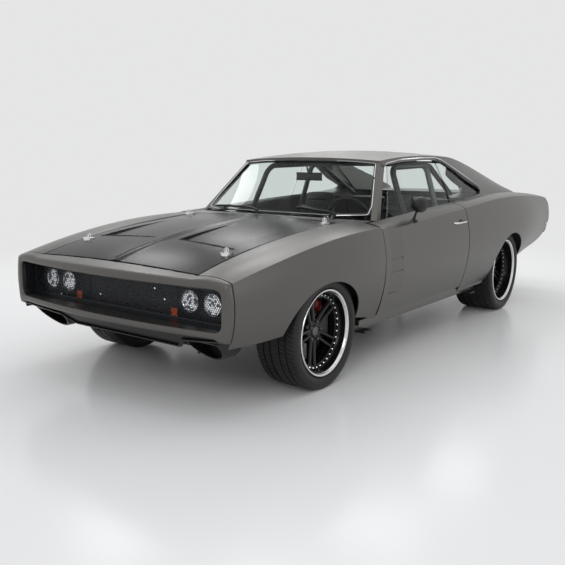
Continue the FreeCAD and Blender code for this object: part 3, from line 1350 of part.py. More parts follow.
pads = []
for y in (sill_front_y + 160, sill_rear_y - 160):
    pads.append(block(775, 845, y - 50, y + 50, size("floor_bottom") - 14, size("floor_bottom")))

# Tie-down eyes: two under the front cross member and two under the trunk floor.
eyes = []
for x, y, z in ((430, behind_front(-555), 330), (450, behind_rear(900), trunk_floor_z)):
    plate = block(x - size("tow_plate") / 2, x + size("tow_plate") / 2, y - 40, y + 40, z - 70, z)
    plate = plate.cut(rod(Vector(x - 30, y, z - 36), Vector(x + 30, y, z - 36), size("tow_bore")))
    eyes.append(plate)
lift_points = pads + eyes
shaped("lift_points", Part.makeCompound(lift_points + [mirrored(piece) for piece in lift_points]))

doc.recompute()

# ---------------------------------------------------------------------------------------------
# Write each sub-part.

doc.recompute()
os.makedirs("parts", exist_ok=True)
for thing in NODES:
    if "Invalid" in thing.State or "Error" in thing.State:
        raise RuntimeError(thing.Label + " failed to build")
    if thing.Shape.isNull() or not thing.Shape.isValid():
        raise RuntimeError(thing.Label + " has no valid shape")
for thing in NODES:
    thing.Shape.exportStep("parts/" + thing.Label + ".step")
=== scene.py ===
import json
import math

import bmesh
import bpy
import numpy as np
from mathutils import Matrix, Vector
from mathutils.bvhtree import BVHTree


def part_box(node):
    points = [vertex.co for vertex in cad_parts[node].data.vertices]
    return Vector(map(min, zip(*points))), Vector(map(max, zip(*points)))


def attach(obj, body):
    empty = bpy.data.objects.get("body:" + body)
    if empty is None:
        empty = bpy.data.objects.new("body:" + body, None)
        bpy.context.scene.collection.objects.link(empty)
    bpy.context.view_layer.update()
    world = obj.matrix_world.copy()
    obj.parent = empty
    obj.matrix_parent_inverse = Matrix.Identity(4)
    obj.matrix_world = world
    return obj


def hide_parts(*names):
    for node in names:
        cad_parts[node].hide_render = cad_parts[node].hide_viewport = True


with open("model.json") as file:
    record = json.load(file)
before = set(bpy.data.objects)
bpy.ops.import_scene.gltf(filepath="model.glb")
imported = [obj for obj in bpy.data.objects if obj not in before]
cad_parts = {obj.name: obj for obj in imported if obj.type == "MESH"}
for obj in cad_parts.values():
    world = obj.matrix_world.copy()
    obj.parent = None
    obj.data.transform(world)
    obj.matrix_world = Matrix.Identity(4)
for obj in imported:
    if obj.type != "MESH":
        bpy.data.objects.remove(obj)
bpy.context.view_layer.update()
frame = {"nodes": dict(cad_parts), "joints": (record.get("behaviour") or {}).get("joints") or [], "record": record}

JOINT_AT = {joint["name"]: joint["pos_m"] for joint in frame["joints"]}
FRONT_AXLE_Y = JOINT_AT["steer_left"][1]
SEAT_X = JOINT_AT["steering_wheel_turn"][0]
CAGE_HOOP_BEHIND = 1.995        # the main hoop's middle, behind the front axle
CAGE_HOOP_HALF = 0.034
UP = Vector((0, 0, 1))
SIDES = ((1, "left"), (-1, "right"))


def at_front(x, behind, z):
    """A point given in millimetres from the front axle."""
    return Vector((x * 0.001, FRONT_AXLE_Y + behind * 0.001, z * 0.001))


# ---- materials
def new_material(name):
    material = bpy.data.materials.new(name)
    material.use_nodes = True
    nodes = material.node_tree.nodes
    nodes.clear()
    output = nodes.new("ShaderNodeOutputMaterial")
    shader = nodes.new("ShaderNodeBsdfPrincipled")
    material.node_tree.links.new(shader.outputs[0], output.inputs[0])
    return material, shader


def add(owner, kind, **values):
    """A node in a material or a world, with its sockets or its settings given by name."""
    node = owner.node_tree.nodes.new(kind)
    for key, value in values.items():
        if key in node.inputs:
            node.inputs[key].default_value = value
        else:
            setattr(node, key, value)
    return node


def join(owner, source, target):
    owner.node_tree.links.new(source, target)


def settle(shader, values):
    for key, value in values.items():
        shader.inputs[key.replace("_", " ")].default_value = value


def texture(material, kind, **values):
    """A texture laid out in the object's own metres."""
    place = add(material, "ShaderNodeTexCoord")
    node = add(material, kind, **values)
    join(material, place.outputs["Object"], node.inputs["Vector"])
    return node


def two_tones(material, source, dark, light, ends, target):
    """Colours a socket between two tones by a texture's value."""
    ramp = add(material, "ShaderNodeValToRGB")
    for element, tone, end in zip(ramp.color_ramp.elements, (dark, light), ends):
        element.color = (*tone, 1)
        element.position = end
    join(material, source, ramp.inputs["Fac"])
    join(material, ramp.outputs["Color"], target)
    return ramp


def wander(material, source, middle, spread, target):
    """Lets a socket wander about a middle value by a texture's value."""
    reach = add(material, "ShaderNodeMapRange")
    reach.inputs["To Min"].default_value = middle - spread
    reach.inputs["To Max"].default_value = middle + spread
    join(material, source, reach.inputs["Value"])
    join(material, reach.outputs["Result"], target)


def raised(material, shader, source, strength, distance):
    lift = add(material, "ShaderNodeBump", Strength=strength, Distance=distance)
    join(material, source, lift.inputs["Height"])
    join(material, lift.outputs["Normal"], shader.inputs["Normal"])


def speckled(name, dark, light, scale, rough, rough_spread, bump=0.0, bump_scale=None, **more):
    """A surface whose colour and roughness wander a little, with an optional fine bump."""
    material, shader = new_material(name)
    noise = texture(material, "ShaderNodeTexNoise", Scale=scale, Detail=6.0)
    two_tones(material, noise.outputs["Fac"], dark, light, (0.3, 0.7), shader.inputs["Base Color"])
    wander(material, noise.outputs["Fac"], rough, rough_spread, shader.inputs["Roughness"])
    if bump:
        grain = texture(material, "ShaderNodeTexNoise", Scale=bump_scale or scale * 4, Detail=3.0)
        raised(material, shader, grain.outputs["Fac"], bump, 0.001)
    settle(shader, more)
    return material


def woven(name, dark, light, cell, rough, rough_spread, **more):
    """A lacquered weave: small squares that alternate between two darks."""
    material, shader = new_material(name)
    turn = texture(material, "ShaderNodeMapping")
    turn.inputs["Rotation"].default_value = (0, 0, math.radians(45))
    checker = add(material, "ShaderNodeTexChecker", Scale=1.0 / cell, Color1=(*dark, 1), Color2=(*light, 1))
    join(material, turn.outputs["Vector"], checker.inputs["Vector"])
    join(material, checker.outputs["Color"], shader.inputs["Base Color"])
    smear = texture(material, "ShaderNodeTexNoise", Scale=2.2, Detail=3.0)
    wander(material, smear.outputs["Fac"], rough, rough_spread, shader.inputs["Roughness"])
    settle(shader, more)
    return material


def glazed(name, tint, refraction):
    """Clear tinted glass with a faint unevenness."""
    material, shader = new_material(name)
    haze = texture(material, "ShaderNodeTexNoise", Scale=1.4, Detail=2.0)
    wander(material, haze.outputs["Fac"], 0.006, 0.006, shader.inputs["Roughness"])
    settle(shader, {"Base Color": (*tint, 1), "IOR": refraction, "Transmission Weight": 1.0})
    return material


def faceted(name):
    """A lamp reflector cut into small mirrors with dark gaps; the bright mirrors also glow, as a painted
    reflection.
    """
    material, shader = new_material(name)
    cells = texture(material, "ShaderNodeTexVoronoi", Scale=62.0)
    tone = add(material, "ShaderNodeSeparateColor")
    join(material, cells.outputs["Color"], tone.inputs[0])
    ramp = two_tones(material, tone.outputs[0], (0.92, 0.94, 0.97), (0.10, 0.11, 0.12), (0.0, 0.62),
                     shader.inputs["Base Color"])
    ramp.color_ramp.interpolation = "CONSTANT"
    # painted reflection: the mirrors' colour also glows as emission, so the bright cells shine without a light to
    # mirror
    join(material, ramp.outputs["Color"], shader.inputs["Emission Color"])
    raised(material, shader, cells.outputs["Distance"], 0.9, 0.004)
    wander(material, cells.outputs["Distance"], 0.165, 0.085, shader.inputs["Roughness"])
    settle(shader, {"Metallic": 0.15, "Emission Strength": 0.45})
    return material


def two_tone_cage(name):
    """The cage's paint: grey on the main hoop, near black on the bars ahead of it and behind it."""
    material = speckled(name, (0.075, 0.078, 0.084), (0.105, 0.108, 0.115), 200.0, 0.35, 0.05, Metallic=0.5,
                        Coat_Weight=0.3)
    nodes = material.node_tree.nodes
    shader = next(node for node in nodes if node.type == "BSDF_PRINCIPLED")
    ramp = next(node for node in nodes if node.type == "VALTORGB")
    place = add(material, "ShaderNodeTexCoord")
    apart = add(material, "ShaderNodeSeparateXYZ")
    join(material, place.outputs["Object"], apart.inputs[0])
    source = apart.outputs["Y"]
    for operation, value in (("SUBTRACT", FRONT_AXLE_Y + CAGE_HOOP_BEHIND), ("ABSOLUTE", 0.0),
                             ("GREATER_THAN", CAGE_HOOP_HALF)):
        step = add(material, "ShaderNodeMath", operation=operation)
        step.inputs[1].default_value = value
        join(material, source, step.inputs[0])
        source = step.outputs[0]
    mix = add(material, "ShaderNodeMix", data_type="RGBA")
    join(material, source, mix.inputs["Factor"])
    join(material, ramp.outputs["Color"], mix.inputs[6])
    mix.inputs[7].default_value = (0.008, 0.008, 0.009, 1)
    join(material, mix.outputs[2], shader.inputs["Base Color"])
    return material


# speckled: name: (dark, light, scale, roughness, its spread, more)
SPECKLED = {
    "body_paint": ((0.098, 0.094, 0.088), (0.126, 0.121, 0.114), 900.0, 0.36, 0.03,
                   {"Metallic": 0.82, "Coat_Weight": 0.15, "Coat_Roughness": 0.22}),
    "black_trim": ((0.006, 0.006, 0.006), (0.013, 0.013, 0.013), 150.0, 0.40, 0.06,
                   {"bump": 0.1, "Specular_IOR_Level": 0.35}),
    "grille_black": ((0.008, 0.009, 0.011), (0.018, 0.019, 0.022), 120.0, 0.30, 0.05,
                     {"Specular_IOR_Level": 0.30}),
    "tail_lens": ((0.10, 0.003, 0.003), (0.15, 0.005, 0.004), 60.0, 0.15, 0.03, {"Coat_Weight": 1.0}),
    "tyre_rubber": ((0.011, 0.011, 0.0115), (0.021, 0.021, 0.021), 60.0, 0.50, 0.06,
                    {"bump": 0.1, "Specular_IOR_Level": 0.30}),
    "rim_black": ((0.0035, 0.0035, 0.0038), (0.008, 0.008, 0.008), 80.0, 0.16, 0.04,
                  {"Specular_IOR_Level": 0.30}),
    "disc_steel": ((0.20, 0.19, 0.18), (0.30, 0.29, 0.28), 40.0, 0.35, 0.05, {"Metallic": 1.0}),
    "chassis_black": ((0.006, 0.006, 0.006), (0.014, 0.014, 0.013), 30.0, 0.6, 0.1, {"bump": 0.15}),
    "engine_iron": ((0.05, 0.05, 0.05), (0.09, 0.085, 0.08), 40.0, 0.6, 0.1, {"Metallic": 0.4, "bump": 0.3}),
    "bare_steel": ((0.12, 0.12, 0.12), (0.18, 0.175, 0.17), 50.0, 0.4, 0.08, {"Metallic": 1.0}),
    "seat_leather": ((0.012, 0.013, 0.015), (0.026, 0.027, 0.030), 90.0, 0.5, 0.07,
                     {"bump": 0.4, "bump_scale": 500.0}),
    "chrome_trim": ((0.72, 0.72, 0.73), (0.84, 0.84, 0.84), 30.0, 0.10, 0.03, {"Metallic": 1.0}),
    "caliper_red": ((0.085, 0.004, 0.004), (0.13, 0.007, 0.006), 50.0, 0.3, 0.05, {}),
    "marker_amber": ((0.85, 0.10, 0.02), (0.95, 0.16, 0.03), 90.0, 0.2, 0.05, {"Coat_Weight": 1.0}),
    "marker_red": ((0.30, 0.02, 0.01), (0.38, 0.03, 0.02), 90.0, 0.2, 0.05, {"Coat_Weight": 1.0}),
    # painted shade: the near-black of the sheet along the hood's ridge
    "inlay_black": ((0.003, 0.003, 0.003), (0.006, 0.006, 0.006), 150.0, 0.45, 0.05,
                    {"Specular_IOR_Level": 0.12}),
    "grille_wire": ((0.045, 0.048, 0.055), (0.085, 0.09, 0.10), 90.0, 0.28, 0.06, {"Metallic": 0.7}),
    "satin_lip": ((0.62, 0.62, 0.62), (0.74, 0.74, 0.74), 60.0, 0.18, 0.05, {"Metallic": 1.0}),
    "mirror_glass": ((0.55, 0.62, 0.62), (0.62, 0.68, 0.68), 8.0, 0.06, 0.02, {"Metallic": 1.0}),
}
MATERIALS = {name: speckled(name, *values[:-1], **values[-1]) for name, values in SPECKLED.items()}
MATERIALS["dark_carbon"] = woven("dark_carbon", (0.0075, 0.0075, 0.0073), (0.0110, 0.0107, 0.0100),
                                 cell=0.004, rough=0.21, rough_spread=0.015, Specular_IOR_Level=0.10)
# the lamp bowls' material: its bright cells glow as painted reflection
MATERIALS["lamp_glass"] = faceted("lamp_glass")
MATERIALS["clear_glass"] = glazed("clear_glass", (0.86, 0.905, 0.89), 1.12)
MATERIALS["lens_clear"] = glazed("lens_clear", (0.95, 0.96, 0.97), 1.10)
MATERIALS["cage_paint"] = two_tone_cage("cage_paint")


def dress(thing, slot):
    thing.data.materials.clear()
    thing.data.materials.append(MATERIALS[slot])


for entry in frame["record"]["subparts"]:
    dress(frame["nodes"][entry["node"]], entry["material_slot"])


# ---- mesh helpers
def corners_of(name):
    """Where the corners of a CAD node's mesh are."""
    return [vertex.co for vertex in frame["nodes"][name].data.vertices]


def tree_of(*names):
    """The faces of some CAD nodes, for rays."""
    points, faces = [], []
    for name in names:
        base = len(points)
        points += corners_of(name)
        polygons = frame["nodes"][name].data.polygons
        faces += [[base + index for index in polygon.vertices] for polygon in polygons]
    return BVHTree.FromPolygons(points, faces)


def from_side(tree, spot):
    """What a ray meets that comes in from the car's left at a spot's height."""
    return tree.ray_cast(Vector((1.4, spot.y, spot.z)), Vector((-1, 0, 0)))


def piece(name, points, faces, slot, body, finish=None, sharp=35.0):
    """A mesh that rides on a body; its finish is its slot's own, or another material's."""
    data = bpy.data.meshes.new(name)
    data.from_pydata([tuple(point) for point in points], [], faces)
    data.update()
    thing = bpy.data.objects.new(name, data)
    bpy.context.scene.collection.objects.link(thing)
    data.materials.append(MATERIALS[finish or slot])
    tidy = bmesh.new()
    tidy.from_mesh(data)
    bmesh.ops.remove_doubles(tidy, verts=tidy.verts, dist=1e-6)
    bmesh.ops.recalc_face_normals(tidy, faces=tidy.faces)
    tidy.to_mesh(data)
    tidy.free()
    for polygon in data.polygons:
        polygon.use_smooth = True
    data.set_sharp_from_angle(angle=math.radians(sharp))
    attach(thing, body)
    return thing


class Shape:
    """Points and faces collected before they become one piece."""

    def __init__(self):
        self.points = []
        self.faces = []

    def put(self, points, faces):
        base = len(self.points)
        self.points += [Vector(point) for point in points]
        self.faces += [tuple(base + index for index in face) for face in faces]

    def grid(self, rows, close_rows=False, close_columns=False):
        """Quads between rows of equally many points."""
        count = len(rows[0])
        points = [point for row in rows for point in row]
        faces = []
        row_count = len(rows)
        for i in range(row_count if close_rows else row_count - 1):
            for j in range(count if close_columns else count - 1):
                a = i * count + j
                b = i * count + (j + 1) % count
                c = ((i + 1) % row_count) * count + (j + 1) % count
                d = ((i + 1) % row_count) * count + j
                faces.append((a, b, c, d))
        self.put(points, faces)

    def close_end(self, count):
        """A face over the last points."""
        base = len(self.points) - count
        self.faces.append(tuple(range(base, base + count)))

    def lathe(self, profile, centre, steps=48, axis="X", flip=1):
        """Turns (along, radius) points round an axis through centre; flip turns the axis round."""
        centre = Vector(centre)
        rows = []
        for step in range(steps):
            angle = math.radians(360.0 * step / steps)
            row = []
            for along, radius in profile:
                along *= flip
                u, v = radius * math.cos(angle), radius * math.sin(angle)
                spot = {"X": (along, u, v), "Y": (u, along, v), "Z": (u, v, along)}[axis]
                row.append(centre + Vector(spot))
            rows.append(row)
        self.grid(rows, close_rows=True)

    def tube(self, path, radius, sides=12):
        """A round bar along points."""
        path = [Vector(point) for point in path]
        rings = []
        for index, point in enumerate(path):
            ahead = path[min(index + 1, len(path) - 1)] - path[max(index - 1, 0)]
            ahead.normalize()
            side = ahead.cross(UP)
            if side.length < 1e-4:
                side = ahead.cross(Vector((0, 1, 0)))
            side.normalize()
            top = side.cross(ahead)
            thick = radius[index] if isinstance(radius, (list, tuple)) else radius
            rings.append([point + (side * math.cos(math.tau * k / sides)
                                   + top * math.sin(math.tau * k / sides)) * thick for k in range(sides)])
        self.grid(rings, close_columns=True)
        for ring in (rings[0], rings[-1]):
            self.put(ring, [tuple(range(sides))])

    def slab(self, outline, depth):
        """A closed outline given thickness along a vector."""
        outline = [Vector(point) for point in outline]
        shift = Vector(depth)
        count = len(outline)
        faces = [tuple(range(count)), tuple(range(2 * count - 1, count - 1, -1))]
        for index in range(count):
            after = (index + 1) % count
            faces.append((index, after, count + after, count + index))
        self.put(outline + [point + shift for point in outline], faces)

    def panel(self, rows, shift):
        """A sheet of rows given thickness along a vector, closed all round its rim."""
        self.grid(rows)
        self.grid([[point + shift for point in reversed(row)] for row in rows])
        rim = rows[0] + [row[-1] for row in rows[1:]] + rows[-1][-2::-1] + [row[0] for row in rows[-2:0:-1]]
        self.grid([rim, [point + shift for point in rim]], close_columns=True)

    def mirrored(self):
        """Adds the same shape on the other side of the car."""
        count = len(self.points)
        self.points += [Vector((-point.x, point.y, point.z)) for point in self.points[:count]]
        self.faces += [tuple(count + index for index in reversed(face)) for face in list(self.faces)]

    def make(self, name, slot, body, **more):
        return piece(name, self.points, self.faces, slot, body, **more)


def around(centre, reach, angle, x=0.0):
    """A point at an angle round a wheel's axle, and x along it."""
    return centre + Vector((x, reach * math.cos(angle), reach * math.sin(angle)))


# ---- tyres
SIPE_SLANT = 0.16


def tyre(name, body, centre, radius, half_width, bead, sipes):
    """A ribbed road tyre: four channels round the tread and slanted sipes across its ribs."""
    rib_edges = [half_width * share for share in (0.855, 0.55, 0.22)]
    channel, depth, sipe_depth = 0.0048, 0.0075, 0.0035
    wall = radius - bead
    # (share of the half width, drop from the radius, share of a sipe's depth)
    side = ((0.80, wall, 0), (0.93, wall - 0.012, 0), (1.0, wall * 0.52, 0), (0.995, wall * 0.36, 0),
            (0.97, 0.0155, 0), (0.945, 0.0080, 0.4), (0.90, 0.0030, 1.0))
    across = [(-half_width * share, drop, sipe) for share, drop, sipe in side]
    across.append((-rib_edges[0], 0.0005, 1.0))
    for edge in rib_edges[1:]:
        across += [(-edge - channel, 0.0, 1.0), (-edge - channel, depth, 0), (-edge + channel, depth, 0),
                   (-edge + channel, 0.0, 1.0)]
    across += [(0.0, 0.0, 0.0)]
    full = across + [(-x, drop, share) for x, drop, share in across[-2::-1]]
    steps = []
    for sipe in range(sipes):
        base = sipe / sipes
        steps += [(base, 0.0), (base + 0.80 / sipes, 0.0), (base + 0.83 / sipes, sipe_depth),
                  (base + 0.97 / sipes, sipe_depth)]
    shape = Shape()
    rows = []
    for turn, cut in steps:
        row = []
        for x, drop, share in full:
            lean = SIPE_SLANT * min(abs(x), rib_edges[0]) / half_width
            row.append(around(centre, radius - drop - cut * share, math.tau * turn + lean, x))
        rows.append(row)
    shape.grid(rows, close_rows=True)
    thing = shape.make(name, "tyre_rubber", body, sharp=40.0)
    rings = Shape()
    place = half_width * 0.93
    for face in (-1, 1):
        for at, out in ((bead + 0.010, 0.0016), (bead + 0.019, 0.0014)):
            rings.lathe(((place - 0.004, at - 0.003), (place + out, at - 0.0015), (place + out, at + 0.0015),
                         (place - 0.004, at + 0.003)), centre, steps=96, flip=face)
    rings.make(name + "_ribs", "tyre_rubber", body)
    return thing


# ---- wheels
SPOKE_PAIRS = 5
SPOKE_TURN = math.radians(42.0)
HUB = 0.048                     # where the spokes start


def prism_ring(shape, centre, count, ring, x_low, x_high, size, sides=6, offset=0.0):
    """Small nuts or bolts standing on a circle."""
    for index in range(count):
        middle = around(centre, ring, offset + math.tau * index / count)
        low, mid, high = [], [], []
        for side in range(sides):
            turn = math.tau * side / sides
            out = Vector((0, math.cos(turn), math.sin(turn)))
            low.append(middle + Vector((x_low, 0, 0)) + out * size)
            mid.append(middle + Vector((x_low + (x_high - x_low) * 0.7, 0, 0)) + out * size)
            high.append(middle + Vector((x_high, 0, 0)) + out * size * 0.7)
        shape.grid([low, mid, high], close_columns=True)
        shape.close_end(sides)


def spoke(shape, centre, side, angle, shifts, faces, ring):
    """One bevelled bar of a twin spoke; shifts and faces hold its place at the hub and at the bolted ring."""
    out = Vector((0, math.cos(angle), math.sin(angle)))
    cross = Vector((0, -math.sin(angle), math.cos(angle)))
    rows = []
    for share in (0.0, 0.08, 0.3, 0.6, 0.88, 1.0):
        reach = HUB + (ring - HUB) * share
        shift = shifts[0] + (shifts[1] - shifts[0]) * share
        face = faces[0] + (faces[1] - faces[0]) * share ** 1.5
        wide = 0.0125 - 0.0022 * share
        thick = 0.030 - 0.010 * share
        row = []
        for along, height in ((-wide, -thick), (-wide, -0.008), (-wide * 0.50, 0.0), (wide * 0.50, 0.0),
                              (wide, -0.008), (wide, -thick)):
            proud = Vector((side * (face + height), 0, 0))
            row.append(centre + out * reach + cross * (shift + along) + proud)
        rows.append(row)
    shape.grid(rows, close_columns=True)
    shape.close_end(len(row))


def wheel(corner, side, centre, half_width, rim_radius, dish, hub_out):
    """A deep three-piece wheel: bright lip, black barrel, bolted ring, five twin spokes and a plain cap."""
    body = "wheel_" + corner
    face = half_width
    ring_face = half_width - dish
    ring = rim_radius - 0.046

    lip = Shape()
    lip.lathe(((face - 0.004, rim_radius - 0.0005), (face, rim_radius - 0.003), (face, rim_radius - 0.009),
               (face - 0.002, rim_radius - 0.0125), (face - 0.006, rim_radius - 0.0155),
               (face - 0.013, rim_radius - 0.0170), (face - 0.0145, rim_radius - 0.0190)),
              centre, steps=128, flip=side)
    lip.make("lip_" + corner, "chrome_trim", body, finish="satin_lip", sharp=50.0)

    barrel = Shape()
    barrel.lathe((
        (face - 0.0140, rim_radius - 0.0185), (face - 0.0160, rim_radius - 0.022),
        (ring_face + 0.014, rim_radius - 0.026), (ring_face + 0.004, rim_radius - 0.031),
        (ring_face, rim_radius - 0.034), (ring_face, ring - 0.010), (ring_face - 0.004, ring - 0.013),
        (ring_face - 0.012, ring - 0.013), (ring_face - 0.020, ring - 0.004),
        (-half_width + 0.060, ring - 0.002), (-half_width + 0.030, rim_radius - 0.020),
        (-half_width + 0.006, rim_radius - 0.016), (-half_width, rim_radius - 0.009),
        (-half_width + 0.001, rim_radius - 0.002), (-half_width + 0.016, rim_radius - 0.003),
        (0.0, rim_radius - 0.016), (face - 0.016, rim_radius - 0.003), (face - 0.004, rim_radius - 0.0008)),
        centre, steps=128, flip=side)
    for pair in range(SPOKE_PAIRS):
        angle = SPOKE_TURN + math.tau * pair / SPOKE_PAIRS
        for way in (-1, 1):
            spoke(barrel, centre, side, angle, (way * 0.0175, way * 0.027),
                  (hub_out - 0.006, ring_face + 0.003), ring)
    barrel.lathe(((-0.004, 0.030), (-0.004, 0.082), (hub_out - 0.034, 0.082), (hub_out - 0.020, 0.076),
                  (hub_out - 0.010, 0.068), (hub_out - 0.008, 0.040), (hub_out - 0.002, 0.036),
                  (hub_out - 0.002, 0.030)), centre, steps=60, flip=side)
    thing = barrel.make("wheel_" + corner + "_black", "rim_black", body, sharp=32.0)
    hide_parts("rim_" + corner)

    cap = Shape()
    cap.lathe(((hub_out - 0.004, 0.0285), (hub_out - 0.001, 0.027), (hub_out + 0.0005, 0.020),
               (hub_out + 0.001, 0.0002)), centre, steps=40, flip=side)
    cap.make("cap_" + corner, "bare_steel", body)

    nuts = Shape()
    prism_ring(nuts, centre, 5, 0.0565, side * (hub_out - 0.012), side * (hub_out + 0.004), 0.0095,
               offset=SPOKE_TURN + math.pi / SPOKE_PAIRS)
    nuts.make("nuts_" + corner, "bare_steel", body, sharp=30.0)

    bolts = Shape()
    prism_ring(bolts, centre, 35, rim_radius - 0.043, side * (ring_face - 0.001),
               side * (ring_face + 0.0080), 0.0062, offset=SPOKE_TURN)
    angle = SPOKE_TURN + math.pi * 0.93
    stem = around(centre, rim_radius - 0.028, angle, side * (face - 0.030))
    bolts.tube([stem, around(stem, -0.004, angle, side * 0.012)], 0.0035, 8)
    bolts.make("bolts_" + corner, "chrome_trim", body, sharp=30.0)


def caliper(name, body, side, centre, outer, x_low, x_high):
    """A red caliper wrapped over the disc, above and behind the axle."""
    shape = Shape()
    rows = []
    for step in range(13):
        share = step / 12
        angle = math.radians(34 + 62 * share)
        pinch = 1.0 - 0.10 * (2 * share - 1) ** 4
        row = []
        crest = outer * pinch
        for along, reach in ((x_low, outer - 0.066), (x_low, crest - 0.006), (x_low + 0.008, crest),
                             (x_high - 0.010, crest), (x_high, crest - 0.010),
                             (x_high, outer - 0.060), (x_high - 0.006, outer - 0.066)):
            row.append(around(centre, reach, angle, side * along))
        rows.append(row)
    shape.grid(rows, close_columns=True)
    for end in (rows[0], rows[-1]):
        shape.put(end, [tuple(range(len(end)))])
    for turn in (46, 64, 82):
        middle = around(centre, outer - 0.036, math.radians(turn), side * x_high)
        shape.lathe(((0.0, 0.019), (0.003, 0.019), (0.004, 0.016), (0.004, 0.0005)), middle, steps=20,
                    flip=side)
    shape.make(name, "engine_iron", body, finish="caliper_red", sharp=35.0)


# corner, side, sipes, dish of the rim, how far the hub stands out, caliper's body, its radius, its outer face
for corner, side, sipes, dish, hub_out, carrier, outer, face in (
        ("front_left", 1, 84, 0.060, 0.058, "knuckle_left", 0.196, 0.020),
        ("front_right", -1, 84, 0.060, 0.058, "knuckle_right", 0.196, 0.020),
        ("rear_left", 1, 90, 0.090, 0.062, "chassis", 0.186, 0.016),
        ("rear_right", -1, 90, 0.090, 0.062, "chassis", 0.186, 0.016)):
    spin = Vector(JOINT_AT[corner + "_spin"])
    low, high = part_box("tyre_" + corner)
    rim_low, rim_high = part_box("rim_" + corner)
    rim_radius = (rim_high.z - rim_low.z) / 2
    at_wheel = Vector(((low.x + high.x) / 2, spin.y, spin.z))
    rubber = tyre("tread_" + corner, "wheel_" + corner, at_wheel, (high.z - low.z) / 2, (high.x - low.x) / 2,
                  rim_radius - 0.004, sipes)
    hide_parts("tyre_" + corner)
    wheel(corner, side, at_wheel, (rim_high.x - rim_low.x) / 2, rim_radius, dish, hub_out)
    caliper("caliper_" + corner, carrier, side, at_wheel, outer, -0.062, face)


# ---- nose
def rounded_outline(half_width, low, high, corner, steps=8, y=0.0):
    """A rounded rectangle standing across the car."""
    points = []
    right, bottom, top = half_width - corner, low + corner, high - corner
    quarters = ((right, top, 0), (-right, top, 90), (-right, bottom, 180), (right, bottom, 270))
    for middle_x, middle_z, start in quarters:
        for step in range(steps + 1):
            angle = math.radians(start + 90 * step / steps)
            x, z = middle_x + corner * math.cos(angle), middle_z + corner * math.sin(angle)
            points.append(Vector((x, y, z)))
    return points


def honeycomb():
    """The fine hexagon mesh that fills the mouth, with a thin frame round it."""
    low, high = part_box("grille_mesh")
    half = high.x - 0.001
    bottom, top = low.z + 0.001, high.z - 0.001
    back, front = high.y - 0.002, low.y + 0.003
    pitch, bar, corner = 0.0125, 0.0017, 0.034
    shape = Shape()
    row_step = pitch * math.sqrt(3) / 2
    cell = pitch / math.sqrt(3)
    hole = cell - bar / math.sqrt(3)
    row = 0
    z = bottom + 0.006
    while z < top - 0.004:
        x = -half + 0.006 + (pitch / 2 if row % 2 else 0.0)
        while x < half - 0.004:
            edge_x = max(abs(x) - (half - corner), 0.0)
            edge_z = max(abs(z - (bottom + top) / 2) - ((top - bottom) / 2 - corner), 0.0)
            if math.hypot(edge_x, edge_z) < corner - 0.004:
                outer, inner, deep = [], [], []
                for k in range(6):
                    turn = math.radians(30 + 60 * k)
                    outer.append((x + cell * math.cos(turn), front, z + cell * math.sin(turn)))
                    inner.append((x + hole * math.cos(turn), front, z + hole * math.sin(turn)))
                    deep.append((x + hole * math.cos(turn), back, z + hole * math.sin(turn)))
                shape.grid([outer, inner, deep], close_columns=True)
            x += pitch
        z += row_step
        row += 1
    rim_out = rounded_outline(half, bottom, top, corner, y=front - 0.001)
    rim_in = rounded_outline(half - 0.009, bottom + 0.009, top - 0.009, corner - 0.009, y=front - 0.001)
    rim_deep = [point + Vector((0, 0.006, 0)) for point in rim_in]
    rim_back = [point + Vector((0, 0.006, 0)) for point in rim_out]
    shape.grid([rim_out, rim_in, rim_deep, rim_back], close_rows=True, close_columns=True)
    mesh = shape.make("grille_honeycomb", "grille_black", "chassis", finish="grille_wire", sharp=30.0)
    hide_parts("grille_mesh")


def lamps():
    """Four round lamps behind the mesh: a faceted bowl glowing with painted reflection, a ring and a clear front.
    """
    low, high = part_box("front_lamps")
    radius = (high.z - low.z) / 2
    height = (high.z + low.z) / 2
    front, back = low.y, high.y
    bowls, rings, fronts, cases = Shape(), Shape(), Shape(), Shape()
    outer_x = high.x - radius
    for x in (outer_x, outer_x - 0.158, 0.158 - outer_x, -outer_x):
        centre = Vector((x, 0, height))
        rows = []
        bowl = ((back - 0.010, 0.012), (back - 0.014, 0.022), (back - 0.022, 0.035), (back - 0.032, 0.046),
                (front + 0.006, 0.0535))
        for index, (along, reach) in enumerate(bowl):
            row = []
            for step in range(18):
                angle = math.tau * (step + 0.5 * (index % 2)) / 18
                row.append(centre + Vector((reach * math.cos(angle), along, reach * math.sin(angle))))
            rows.append(row)
        for index in range(len(rows) - 1):
            for step in range(18):
                after = (step + 1) % 18
                (a, b), (c, d) = ((row[step], row[after]) for row in rows[index:index + 2])
                bowls.put([a, b, c, d], [(0, 1, 2), (1, 3, 2)] if index % 2 else [(0, 1, 3), (0, 3, 2)])
        bowls.lathe([(back - 0.009, 0.014), (back - 0.030, 0.011), (back - 0.034, 0.006),
                     (back - 0.035, 0.0003)], centre, steps=18, axis="Y")
        rings.lathe([(front + 0.010, 0.0535), (front + 0.003, 0.0540), (front + 0.0005, 0.0565),
                     (front + 0.0005, 0.0585), (front + 0.003, 0.0598), (front + 0.014, 0.0598)],
                    centre, steps=64, axis="Y")
        cases.lathe([(front + 0.012, 0.0596), (back - 0.018, 0.0560), (back - 0.002, 0.0300), (back, 0.0003)],
                    centre, steps=40, axis="Y")
        fronts.lathe([(front + 0.006, 0.0535), (front + 0.0030, 0.040), (front + 0.0015, 0.020),
                      (front + 0.0010, 0.0003)], centre, steps=48, axis="Y")
    mirrors = bowls.make("lamp_bowls", "lamp_glass", "chassis", sharp=1.0)
    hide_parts("front_lamps")
    rings.make("lamp_rings", "chrome_trim", "chassis")
    cases.make("lamp_cases", "black_trim", "chassis")
    fronts.make("lamp_fronts", "clear_glass", "chassis", finish="lens_clear")


SQUARE = ((-1, -1), (1, -1), (1, 1), (-1, 1))
FLUTES = 6


